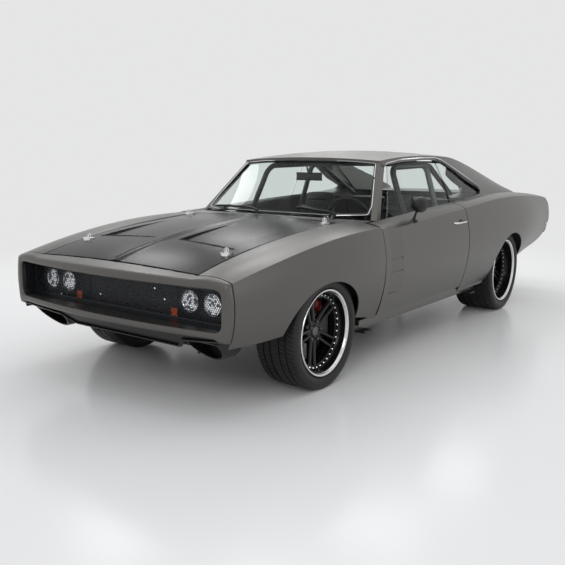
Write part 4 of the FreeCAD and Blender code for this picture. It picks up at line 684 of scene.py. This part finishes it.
def markers():
    """Two square amber markers behind the mesh, each with a fluted face and a thin case."""
    low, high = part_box("grille_mesh")
    plane = high.y - 0.001
    size = 0.0225
    plates, cases = Shape(), Shape()
    for x in (0.393, -0.393):
        centre = Vector((x, plane, 0.517))
        cases.slab([centre + Vector((dx * 0.0255, 0.002, dz * 0.0255)) for dx, dz in SQUARE], (0, 0.014, 0))
        for index in range(FLUTES):
            a = -size + 2 * size * index / FLUTES
            b = a + 2 * size / FLUTES
            rows = []
            for share in (0.04, 0.30, 0.50, 0.70, 0.96):
                rise = 0.0022 * math.sin(math.pi * share)
                z = a + (b - a) * share
                rows.append([centre + Vector((x_end, 0.0015 - rise, z)) for x_end in (-size, size)])
            plates.grid(rows)
        plates.slab([centre + Vector((dx * size, 0.0015, dz * size)) for dx, dz in SQUARE], (0, 0.004, 0))
    plates.make("amber_markers", "lamp_glass", "chassis", finish="marker_amber", sharp=30.0)
    cases.make("amber_marker_cases", "black_trim", "chassis", sharp=30.0)
    studs = Shape()
    front = low.y + 0.002
    for x, z in ((-0.194, 0.543), (0.256, 0.630), (0.330, 0.578), (-0.560, 0.500)):
        studs.lathe([(front, 0.0062), (front - 0.0020, 0.0055), (front - 0.0024, 0.0002)],
                    (x, 0, z), steps=16, axis="Y")
    studs.make("grille_studs", "chrome_trim", "chassis")


NOSE_FACES = 0.0055             # edge of the nose shell's faces
NOSE_ROUNDS, NOSE_EASE = 26, 0.55
NOSE_HELD, NOSE_BLEND = 0.006, 0.030    # what stays put at the rear seam, and how soon the easing sets in


def rounded_nose():
    """The nose with its lips and corners rolled over: the CAD shell in fine faces, eased where it's free."""
    source = frame["nodes"]["nose_surround"]
    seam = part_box("nose_surround")[1].y
    raw = bpy.data.objects.new("nose_raw", source.data.copy())
    bpy.context.scene.collection.objects.link(raw)
    remesh = raw.modifiers.new("fine", "REMESH")
    remesh.mode = "VOXEL"
    remesh.voxel_size = NOSE_FACES
    bpy.context.view_layer.update()
    data = bpy.data.meshes.new_from_object(raw.evaluated_get(bpy.context.evaluated_depsgraph_get()))
    bpy.data.objects.remove(raw)
    place = np.empty(len(data.vertices) * 3)
    data.vertices.foreach_get("co", place)
    place = place.reshape(-1, 3)
    ends = np.empty(len(data.edges) * 2, dtype=np.int64)
    data.edges.foreach_get("vertices", ends)
    first, second = ends.reshape(-1, 2).T
    ties = np.bincount(first, minlength=len(place)) + np.bincount(second, minlength=len(place))
    share = np.clip((seam - NOSE_HELD - place[:, 1]) / NOSE_BLEND, 0.03, 1.0)[:, None]
    for _ in range(NOSE_ROUNDS):
        total = np.zeros_like(place)
        for axis in range(3):
            total[:, axis] += np.bincount(first, weights=place[second, axis], minlength=len(place))
            total[:, axis] += np.bincount(second, weights=place[first, axis], minlength=len(place))
        place += share * NOSE_EASE * (total / ties[:, None] - place)
    data.vertices.foreach_set("co", place.ravel())
    data.name = "nose_shell"
    shell = bpy.data.objects.new("nose_shell", data)
    bpy.context.scene.collection.objects.link(shell)
    dress(shell, "body_paint")
    for polygon in data.polygons:
        polygon.use_smooth = True
    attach(shell, "chassis")
    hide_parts("nose_surround")


honeycomb()
lamps()
markers()
rounded_nose()


# ---- hood pins and wipers
def hood_pin_rings():
    """Bright standing rings through the four pins of the hood."""
    rings = Shape()
    pin_points = corners_of("hood_pins")
    middle_y = sum(point.y for point in pin_points) / len(pin_points)
    radius, wire = 0.0150, 0.0024
    for left, ahead in ((True, True), (True, False), (False, True), (False, False)):
        own = [point for point in pin_points if (point.x > 0) == left and (point.y < middle_y) == ahead]
        top = max(point.z for point in own)
        crown = [point for point in own if point.z > top - 0.002]
        x = (min(point.x for point in own) + max(point.x for point in own)) / 2
        y = (min(point.y for point in crown) + max(point.y for point in crown)) / 2
        centre = Vector((x, y, top - 0.004 + radius * 0.10))
        rows = []
        for step in range(28):
            angle = math.tau * step / 28
            out = Vector((math.cos(angle), 0, math.sin(angle)))
            ring = []
            for turn in range(8):
                swing = math.tau * turn / 8
                aside = Vector((0, wire * math.sin(swing), 0))
                ring.append(centre + out * (radius + wire * math.cos(swing)) + aside)
            rows.append(ring)
        rings.grid(rows, close_rows=True, close_columns=True)
    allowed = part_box("hood_pins")[1].z + 0.010
    lift = max(0.0, max(point.z for point in rings.points) - allowed)
    for point in rings.points:
        point.z -= lift
    rings.make("hood_pin_rings", "chrome_trim", "hood")


def wipers():
    """Two black wipers that rest along the foot of the windshield."""
    arms, blades, knobs = Shape(), Shape(), Shape()
    for pivot, knee, tip in (((-54, 552, 968), (-270, 616, 992), (-540, 680, 981)),
                             ((524, 650, 962), (394, 632, 986), (236, 619, 1004))):
        pivot, knee, tip = at_front(*pivot), at_front(*knee), at_front(*tip)
        rise = Vector((0, 0, 0.012))
        path = [pivot + rise * 0.4, pivot.lerp(knee, 0.25) + rise, pivot.lerp(knee, 0.7) + rise * 0.8, knee]
        arms.tube(path, [0.0085, 0.0075, 0.0060, 0.0045], 10)
        near = knee.lerp(pivot, 0.38) + Vector((0, -0.004, 0.004))
        spine = [near.lerp(tip, share) + Vector((0, 0, 0.004 * math.sin(math.pi * share)))
                 for share in (k / 8 for k in range(9))]
        blades.tube(spine, [0.0035] + [0.0056] * 7 + [0.0035], 8)
        rubber = [point - Vector((0, -0.002, 0.0075)) for point in spine]
        blades.tube(rubber, 0.0030, 6)
        knobs.lathe([(0.020, 0.0004), (0.019, 0.008), (0.012, 0.0125), (-0.010, 0.0135)],
                    pivot - rise * 0.2, steps=24, axis="Z")
    arms.make("wiper_arms", "black_trim", "chassis")
    blades.make("wiper_blades", "black_trim", "chassis")
    knobs.make("wiper_knobs", "black_trim", "chassis")


hood_pin_rings()
wipers()


# ---- doors and sides
def handles():
    """A bright pull handle and a round lock on each door, over a black dish the door carries as painted shade
    under the handle.
    """
    low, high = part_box("door_trim_right")
    reach, z = 0.926, (low.z + high.z) / 2 + 0.001
    front, back = low.y + 0.004, high.y - 0.002
    # (share of the length, distance out of the door, bar radius)
    bar = ((0.0, -0.010, 0.0070), (0.05, 0.010, 0.0072), (0.16, 0.019, 0.0066), (0.5, 0.022, 0.0062),
           (0.84, 0.020, 0.0068), (0.95, 0.012, 0.0080), (1.0, -0.008, 0.0070))
    for side, label in SIDES:
        grips, shade_cups = Shape(), Shape()
        grips.tube([Vector((side * (reach + out), front + (back - front) * share, z + 0.004 * share))
                    for share, out, _ in bar], [radius for _, _, radius in bar], 12)
        # painted shade: a black dish behind each handle stands in for the shade under it
        shade_cups.lathe([(0.004, 0.030), (0.0052, 0.0265), (0.0025, 0.022), (0.0005, 0.0003)],
                   Vector((side * 0.9165, (front + back) / 2 + 0.030, z - 0.006)), steps=32)
        grips.lathe(((-0.012, 0.0125), (0.002, 0.0125), (0.004, 0.0105), (0.004, 0.0045), (0.0025, 0.0040),
                     (0.0025, 0.0003)), at_front(side * 925, 1948, 824), steps=28, flip=side)
        grips.make("door_handle_" + label, "chrome_trim", "door_" + label)
        shade_cups.make("door_cup_" + label, "black_trim", "door_" + label)


def bullet_mirror():
    """The left door's black bullet mirror: a smooth shell on a slim stalk, its glass to the rear."""
    head = at_front(905, 1122, 1027)
    shell, glass = Shape(), Shape()
    shell.lathe([(-0.056, 0.0004), (-0.054, 0.016), (-0.046, 0.030), (-0.030, 0.043), (-0.008, 0.0515),
                 (0.016, 0.0545), (0.030, 0.0550), (0.032, 0.0535), (0.031, 0.0500), (0.024, 0.0490)],
                head, steps=56, axis="Y")
    glass.lathe([(0.0255, 0.0500), (0.0245, 0.030), (0.0240, 0.0003)], head, steps=48, axis="Y")
    foot = at_front(868, 1135, 916)
    path = [foot, foot + Vector((0.004, -0.001, 0.022)), foot.lerp(head, 0.62),
            head - Vector((0.004, 0, 0.044))]
    shell.tube(path, [0.0165, 0.0085, 0.0075, 0.0120], 18)
    shell.lathe([(-0.006, 0.030), (0.002, 0.029), (0.006, 0.022), (0.010, 0.010)], foot, steps=32, axis="Z")
    body = shell.make("mirror_shell", "black_trim", "door_left")
    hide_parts("door_trim_left")
    glass.make("mirror_face", "chrome_trim", "door_left", finish="mirror_glass")


handles()
bullet_mirror()


def hull(points):
    """The convex outline of 2-D points, anticlockwise."""
    points = sorted(set(points))
    chains = []
    for order in (points, list(reversed(points))):
        chain = []
        for point in order:
            while len(chain) > 1 and ((chain[-1][0] - chain[-2][0]) * (point[1] - chain[-2][1])
                                      - (chain[-1][1] - chain[-2][1]) * (point[0] - chain[-2][0])) <= 0:
                chain.pop()
            chain.append(point)
        chains.append(chain[:-1])
    return chains[0] + chains[1]


def even(points, spacing):
    """The same polyline with points an even step apart."""
    lengths = [0.0]
    for a, b in zip(points, points[1:]):
        lengths.append(lengths[-1] + (b - a).length)
    count = max(2, int(lengths[-1] / spacing))
    out = []
    at = 0
    for k in range(count + 1):
        want = lengths[-1] * k / count
        while at < len(lengths) - 2 and lengths[at + 1] < want:
            at += 1
        span = lengths[at + 1] - lengths[at]
        out.append(points[at].lerp(points[at + 1], (want - lengths[at]) / span if span else 0.0))
    return out


# ---- hood
HOOD_THICK = 0.012
RIDGE_HIGH, RIDGE_HALF = 0.0075, 0.042
# The two recesses: their depth, their start behind the axle and its lean, and where they fade out.
RECESS_DEEP, RECESS_START, RECESS_LEAN, RECESS_END = 0.014, -0.430, 0.030, 0.170
RECESS_INNER, RECESS_OUTER, RECESS_TAPER = 0.100, 0.545, 0.045
WALL_WIDE, LIP_WIDE, LIP_HIGH = 0.005, 0.012, 0.0050


def within(value):
    return min(max(value, 0.0), 1.0)


def hood_skin():
    """The hood again on an even grid, to reflect cleanly: crown, centre ridge and two fading recesses, with a
    near-black sheet along the ridge as painted shade.
    """
    tree = tree_of("hood")
    low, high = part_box("hood")
    half = high.x - 0.0004
    front, rear = low.y, high.y
    samples = []
    for i in range(25):
        x = half * (-0.99 + 1.98 * i / 24)
        for j in range(41):
            y = front + 0.004 + (rear - front - 0.008) * j / 40
            behind = y - FRONT_AXLE_Y
            if abs(x) < 0.055 or (0.09 < abs(x) < 0.56 and -0.45 < behind < 0.40):
                continue
            hit = tree.ray_cast(Vector((x, y, 2.0)), -UP)
            if hit[0] is not None and hit[1].z > 0.8:
                samples.append((x, y, hit[0].z))
    samples = np.array(samples)

    def terms(x, y):
        t = (y - front) / (rear - front)
        return np.array([t ** p * x ** q for q in (0, 2, 4) for p in range(6 if q < 4 else 3)]).T

    weights = np.linalg.lstsq(terms(samples[:, 0], samples[:, 1]), samples[:, 2], rcond=None)[0]

    def height(x, y):
        base = float(terms(np.array([x]), np.array([y]))[0] @ weights)
        behind = y - FRONT_AXLE_Y
        reach = abs(x)
        ridge = RIDGE_HIGH * max(0.0, 1.0 - reach / RIDGE_HALF)
        start = RECESS_START + RECESS_LEAN * (0.54 - reach) / 0.43
        depth = 0.0
        if behind > start - LIP_WIDE:
            fade = within((RECESS_END - behind) / (RECESS_END - start))
            inner = within((reach - RECESS_INNER) / WALL_WIDE)
            outer = within((RECESS_OUTER - RECESS_TAPER * (behind - start) / 0.6 - reach) / WALL_WIDE)
            ahead = within((behind - start) / 0.006)
            depth = RECESS_DEEP * fade * inner * outer * ahead
            if ahead <= 0.0 and 0.095 < reach < 0.55:
                depth = -LIP_HIGH * (behind - start + LIP_WIDE) / LIP_WIDE
        return base + ridge - depth

    xs = {0.0, 0.014, 0.028, 0.042, 0.058, 0.075, 0.090, 0.100, 0.105, 0.55, 0.585, 0.61, half}
    xs |= {0.105 + 0.395 * k / 22 for k in range(1, 22)} | {0.495 + 0.055 * k / 12 for k in range(13)}
    xs = sorted(xs | {-x for x in xs if x})
    ys = {front, rear} | {front + (rear - front) * k / 84 for k in range(85)}
    ys = sorted(ys | {FRONT_AXLE_Y - 0.442 + 0.0035 * k for k in range(16)})
    shape = Shape()
    shape.panel([[Vector((x, y, height(x, y))) for x in xs] for y in ys], Vector((0, 0, -HOOD_THICK)))
    skin = shape.make("hood_skin", "dark_carbon", "hood", sharp=28.0)
    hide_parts("hood")

    # painted shade: a near-black sheet just above the ridge, wide at the front and thin to the rear, stands in for
    # the dark band along it
    ridge_shade = Shape()
    rows = []
    for k in range(41):
        share = k / 40
        y = front + 0.012 + (rear - front - 0.30) * share
        wide = 0.040 * (1 - share) ** 1.2 + 0.003 if k else 0.012
        left = -0.004 - wide
        rows.append([Vector((x, y, height(x, y) + 0.0008))
                     for x in (left + (wide + 0.002) * j / 4 for j in range(5))])
    ridge_shade.grid(rows)
    ridge_shade.make("hood_ridge_inlay", "black_trim", "hood", finish="inlay_black")


def hood_lugs():
    """The two lugs under the hood that its hinge pins pass through."""
    hinge = Vector(JOINT_AT["hood_hinge"])
    shape = Shape()
    for x in (0.540, -0.540):
        shape.slab([Vector((x - 0.006, hinge.y + dy, hinge.z + dz)) for dy, dz in
                    ((-0.020, 0.030), (-0.020, -0.006), (-0.012, -0.018), (0.012, -0.018), (0.020, -0.006),
                     (0.020, 0.032))], (0.012, 0, 0))
    shape.make("hood_lugs", "dark_carbon", "hood", sharp=30.0)


hood_skin()
hood_lugs()


# ---- trim that follows the body
def side_window_trim():
    """Black reveals and bright drip rails over the side windows."""
    outer = tree_of("fixed_glass", "door_glass_left", "roof_pillars", "roof_panel", "door_left",
                    "quarter_panels", "front_fenders")
    glass = corners_of("door_glass_left")
    glass += [point for point in corners_of("fixed_glass") if point.x > 0.55 and point.y > 0.2]
    side = [(round(point.y, 4), round(point.z, 4)) for point in glass if point.z > 1.0]
    chain = [Vector((0, y, z)) for y, z in hull(side)]
    rear = max(chain, key=lambda point: point.y)
    start = min(chain, key=lambda point: point.y + 0.2 * point.z)
    middle = Vector((0, (start.y + rear.y) / 2, 1.0))
    first = chain.index(start)
    chain = chain[first:] + chain[:first]
    if chain[1].z < chain[-1].z:
        chain = [chain[0]] + list(reversed(chain[1:]))
    chain = even(chain[:chain.index(rear) + 1], 0.020)

    def on_body(spot, proud):
        hit = from_side(outer, spot)
        return hit[0] + hit[1] * proud if hit[0] is not None and hit[0].x > 0.5 else None

    band, rail = [], []
    for index, point in enumerate(chain):
        ahead = (chain[min(index + 1, len(chain) - 1)] - chain[max(index - 1, 0)]).normalized()
        out = Vector((0, -ahead.z, ahead.y))
        if out.dot(point - middle) < 0:
            out = -out
        row = [on_body(point + out * reach, 0.0022) for reach in (-0.003, 0.005, 0.012, 0.020)]
        if all(row):
            band.append(row)
        bright = on_body(point + out * 0.025, 0.0015)
        if bright:
            rail.append(bright)
    reveal, rails = Shape(), Shape()
    reveal.grid(band)
    rails.tube(rail, 0.0034, 8)
    for shape, name, slot in ((reveal, "window_reveals", "black_trim"), (rails, "drip_rails", "chrome_trim")):
        shape.mirrored()
        shape.make(name, slot, "chassis")


SEAL_PROUD, SEAL_REACH, BEAD = 0.0035, (-0.016, -0.007, 0.002), 0.0030
GLASS_NEAR = 0.030              # a ray's hit farther than this from the pane belongs to something else


def screen_trim(name, pick, y_sign):
    """A black seal and a bright bead round the windshield or the rear window."""
    outer = tree_of("fixed_glass", "roof_pillars", "roof_panel", "cowl_panel", "deck_panel")
    glass = [point for point in corners_of("fixed_glass") if pick(point)]
    glass.sort(key=lambda point: point.y * y_sign)
    at = {(round(point.x, 4), round(point.z, 4)): point.y for point in glass}
    outline = [Vector((x, at[(x, z)], z)) for x, z in hull(list(at))]
    outline.append(outline[0].copy())
    loop = even(outline, 0.020)[:-1]
    middle = sum(loop, Vector((0, 0, 0))) / len(loop)
    rows = []
    for index, point in enumerate(loop):
        ahead = (loop[(index + 1) % len(loop)] - loop[index - 1]).normalized()
        out = Vector((-ahead.z, 0, ahead.x))
        if out.dot(point - middle) < 0:
            out = -out
        row = []
        for reach in SEAL_REACH:
            spot = point + out * reach
            hit = outer.ray_cast(Vector((spot.x, y_sign * 3.0, spot.z)), Vector((0, -y_sign, 0)))
            close = hit[0] is not None and abs(hit[0].y - point.y) < GLASS_NEAR
            row.append(Vector((spot.x, (hit[0].y if close else point.y) + y_sign * SEAL_PROUD, spot.z)))
        rows.append(row)
    strip, beads = Shape(), Shape()
    strip.grid(rows, close_rows=True)
    half = len(rows) // 2
    for run in (rows[:half + 2], rows[half:] + rows[:1]):
        beads.tube([row[-1] for row in run], BEAD, 8)
    strip.make(name + "_seal", "black_trim", "chassis")
    beads.make(name + "_bead", "chrome_trim", "chassis")


side_window_trim()
screen_trim("windshield", lambda point: point.y < -0.45 and point.z > 0.95, -1)
screen_trim("rear_window", lambda point: point.y > 0.62 and abs(point.x) < 0.66 and point.z > 1.03, 1)


# ---- cabin
def pad_form(shape, centre, along_u, along_v, wide, deep, thick, seams=(), pull=0.02, steps=28):
    """A crowned closed pad: full in the middle, thin at its piped edge, with sewn channels along v."""
    centre = Vector(centre)
    along_u, along_v = Vector(along_u).normalized(), Vector(along_v).normalized()
    normal = along_u.cross(along_v).normalized()
    for face in (1.0, -0.35):
        rows = []
        for i in range(steps + 1):
            u = math.sin(math.pi * (i / steps - 0.5))
            row = []
            for j in range(steps + 1):
                v = math.sin(math.pi * (j / steps - 0.5))
                edge = max(0.0, (1 - abs(u) ** 5) * (1 - abs(v) ** 5)) ** 0.42
                rise = thick * edge * (0.74 + 0.26 * math.cos(u * math.pi / 2) * math.cos(v * math.pi / 2))
                for seam in seams:
                    rise -= 0.22 * thick * edge * math.exp(-((u - seam) / 0.045) ** 2)
                side = u * (1 - pull * (1 - v * v)) * wide / 2
                far = v * (1 - pull * (1 - u * u)) * deep / 2
                row.append(centre + along_u * side + along_v * far + normal * rise * face)
            rows.append(row)
        shape.grid(rows)


def seats():
    """Two high-backed leather buckets: channelled pads, side bolsters, head pad and a hard shell."""
    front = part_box("front_seats")[0].y
    lean = Vector((0, math.sin(math.radians(17)), math.cos(math.radians(17))))
    forward = Vector((0, -math.cos(math.radians(8)), math.sin(math.radians(8))))
    across = Vector((1, 0, 0))
    channels = (-0.62, -0.31, 0.0, 0.31, 0.62)
    # the shell's outline: (height up the back, half width)
    outline = ((-0.13, 0.200), (0.02, 0.232), (0.20, 0.240), (0.38, 0.228), (0.46, 0.190), (0.52, 0.145),
               (0.60, 0.132), (0.640, 0.105))
    for side, label in SIDES:
        x = side * SEAT_X
        base = Vector((x, front + 0.27, 0.415))
        foot = Vector((x, front + 0.505, 0.435))
        cushion, back, head, shell = Shape(), Shape(), Shape(), Shape()
        pad_form(cushion, base, forward, across, 0.47, 0.335, 0.060, seams=(-0.45, 0.0, 0.45))
        for way in (-1, 1):
            pad_form(cushion, base + Vector((way * 0.190, 0, 0.012)), forward,
                     across + Vector((0, 0, -way * 0.55)), 0.47, 0.105, 0.050)
            pad_form(back, foot + lean * 0.235 + Vector((way * 0.185, -0.036, 0)), lean,
                     -across + Vector((0, way * 0.75, 0)), 0.44, 0.115, 0.045)
        pad_form(back, foot + lean * 0.235, lean, -across, 0.47, 0.315, 0.055, seams=channels)
        pad_form(back, foot + lean * 0.455 + Vector((0, -0.008, 0)), lean, -across, 0.13, 0.330, 0.050)
        pad_form(head, foot + lean * 0.560 + Vector((0, -0.012, 0)), lean, -across, 0.150, 0.235, 0.045,
                 seams=(0.0,))
        for shape, name in ((cushion, "seat_cushion_"), (back, "seat_back_"), (head, "seat_head_")):
            pad = shape.make(name + label, "seat_leather", "chassis", sharp=70.0)
            if shape is cushion:
                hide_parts("front_seats")
        rows = []
        for height, half in outline:
            wrap = 0.060 if height < 0.5 else 0.02
            rows.append([foot + lean * height + Vector((half * share, 0.034 - wrap * abs(share) ** 3, 0))
                         for share in (k / 4 - 1 for k in range(9))])
        shell.panel(rows, Vector((0, 0.012, 0)))
        for way in (-1, 1):
            shell.slab([Vector((x + way * 0.17 - 0.012, front + dy, z)) for dy, z in
                        ((0.06, 0.252), (0.50, 0.252), (0.47, 0.400), (0.08, 0.385))], (0.024, 0, 0))
        shell.make("seat_shell_" + label, "black_trim", "chassis", sharp=45.0)


def cabin_mirror():
    """The inside mirror on its stalk, behind the top of the windshield."""
    case, stalk = Shape(), Shape()
    middle = at_front(-67, 1230, 1196)
    pad_form(case, middle, (1, 0.06, 0), UP, 0.232, 0.062, 0.012, steps=16)
    stalk.tube([middle + Vector((0.004, -0.004, 0.012)), middle + Vector((0.006, -0.030, 0.045)),
                at_front(-60, 1185, 1272)], 0.0060, 10)
    case.make("cabin_mirror", "black_trim", "chassis", sharp=70.0)
    stalk.make("cabin_mirror_stalk", "black_trim", "chassis")


def side_markers():
    """A low red marker near each rear end of the body."""
    outer = tree_of("quarter_panels", "front_fenders", "tail_panel")
    shape = Shape()
    middle = at_front(882, 4234, 701)
    rim = []
    for dy, dz in ((-0.045, 0.010), (-0.045, -0.010), (0.045, -0.010), (0.045, 0.010)):
        spot = middle + Vector((0, dy, dz))
        hit = from_side(outer, spot)
        rim.append(hit[0] if hit[0] is not None else spot)
    proud = [point + Vector((0.0035, 0, 0)) + (sum(rim, Vector()) / 4 - point) * 0.14 for point in rim]
    shape.grid([[point - Vector((0.002, 0, 0)) for point in rim], proud], close_columns=True)
    shape.put(proud, [(0, 1, 2, 3)])
    shape.mirrored()
    shape.make("rear_side_markers", "tail_lens", "chassis", finish="marker_red", sharp=30.0)


seats()
cabin_mirror()
side_markers()


# ---- stage
BACKDROP = (0.785, 0.787, 0.790)
FLOOR_REACH = 30.0
FLOOR_FADES = (3.2, 8.0)         # where the floor starts to turn into the backdrop, and where it has
# lamps: (name, place, turn about x and z in degrees, width, depth, power)
LAMPS = [("ceiling_%d_%d" % (row, column), (-1.2 - 2.6 * column, 0.6 + 2.4 * row, 3.6), (0, 0), 1.3, 0.9,
          17.0) for row in range(3) for column in range(2)]
LAMPS += [("overhead", (0.4, -0.6, 4.6), (0, 0), 5.5, 5.5, 34.0),
          ("front_fill", (3.4, -7.5, 4.2), (56, 24), 4.0, 2.5, 70.0),
          ("left_fill", (7.0, 0.4, 2.0), (78, 90), 4.0, 1.6, 16.0)]


def stage_floor():
    """A pale glossy floor that turns into the backdrop's tone away from the car."""
    data = bpy.data.meshes.new("floor")
    data.from_pydata([(x * FLOOR_REACH, y * FLOOR_REACH, 0) for x, y in SQUARE], [], [(0, 1, 2, 3)])
    floor = bpy.data.objects.new("floor", data)
    bpy.context.scene.collection.objects.link(floor)
    material, shader = new_material("floor_gloss")
    noise = texture(material, "ShaderNodeTexNoise", Scale=0.8, Detail=4.0)
    two_tones(material, noise.outputs["Fac"], (0.87, 0.87, 0.875), (0.90, 0.90, 0.905), (0.0, 1.0),
              shader.inputs["Base Color"])
    settle(shader, {"Roughness": 0.20, "Specular IOR Level": 0.22})
    shown = add(material, "ShaderNodeEmission", Color=(*BACKDROP, 1), Strength=1.0)
    away = texture(material, "ShaderNodeVectorMath", operation="LENGTH")
    fade = add(material, "ShaderNodeMapRange")
    fade.interpolation_type = "SMOOTHSTEP"
    fade.inputs["From Min"].default_value, fade.inputs["From Max"].default_value = FLOOR_FADES
    join(material, away.outputs["Value"], fade.inputs["Value"])
    blend = add(material, "ShaderNodeMixShader")
    for socket, source in enumerate((fade.outputs["Result"], shader.outputs[0], shown.outputs[0])):
        join(material, source, blend.inputs[socket])
    output = next(node for node in material.node_tree.nodes if node.type == "OUTPUT_MATERIAL")
    join(material, blend.outputs[0], output.inputs[0])
    data.materials.append(material)


def surround():
    """The backdrop's tone wherever it is seen, mirrored or seen through, and white light everywhere else."""
    world = bpy.data.worlds.new("surround")
    bpy.context.scene.world = world
    world.use_nodes = True
    world.node_tree.nodes.clear()
    output = add(world, "ShaderNodeOutputWorld")
    shown = add(world, "ShaderNodeBackground", Color=(*BACKDROP, 1), Strength=1.0)
    lighting = add(world, "ShaderNodeBackground", Color=(0.98, 0.99, 1.0, 1), Strength=0.72)
    path = add(world, "ShaderNodeLightPath")
    seen = path.outputs["Is Camera Ray"]
    for ray in ("Is Glossy Ray", "Is Transmission Ray"):
        either = add(world, "ShaderNodeMath", operation="MAXIMUM")
        join(world, seen, either.inputs[0])
        join(world, path.outputs[ray], either.inputs[1])
        seen = either.outputs[0]
    mix = add(world, "ShaderNodeMixShader")
    for socket, source in enumerate((seen, lighting.outputs[0], shown.outputs[0])):
        join(world, source, mix.inputs[socket])
    join(world, mix.outputs[0], output.inputs[0])


def lamps_on():
    """Soft panels under the ceiling and two fills at the sides."""
    for name, place, (turn_x, turn_z), wide, deep, power in LAMPS:
        data = bpy.data.lights.new(name, "AREA")
        data.shape = "RECTANGLE"
        data.size = wide
        data.size_y = deep
        data.energy = power
        lamp = bpy.data.objects.new(name, data)
        lamp.location = place
        lamp.rotation_euler = (math.radians(turn_x), 0, math.radians(turn_z))
        bpy.context.scene.collection.objects.link(lamp)


def camera():
    """The three-quarter view from the car's front left, a little above the roof."""
    data = bpy.data.cameras.new("camera")
    data.lens = 45.33
    data.sensor_width = 36.0
    data.shift_x = 0.0462
    data.shift_y = 0.0113
    azimuth, pitch, roll = 37.6, 10.26, 0.43
    eye = bpy.data.objects.new("camera", data)
    turn = (Matrix.Rotation(math.radians(azimuth), 4, "Z") @ Matrix.Rotation(math.radians(90 - pitch), 4, "X")
            @ Matrix.Rotation(math.radians(roll), 4, "Z"))
    eye.matrix_world = Matrix.Translation((3.012, FRONT_AXLE_Y - 3.426, 1.318)) @ turn
    bpy.context.scene.collection.objects.link(eye)
    bpy.context.scene.camera = eye


stage_floor()
surround()
lamps_on()
camera()
bpy.context.scene.view_settings.view_transform = "Standard"
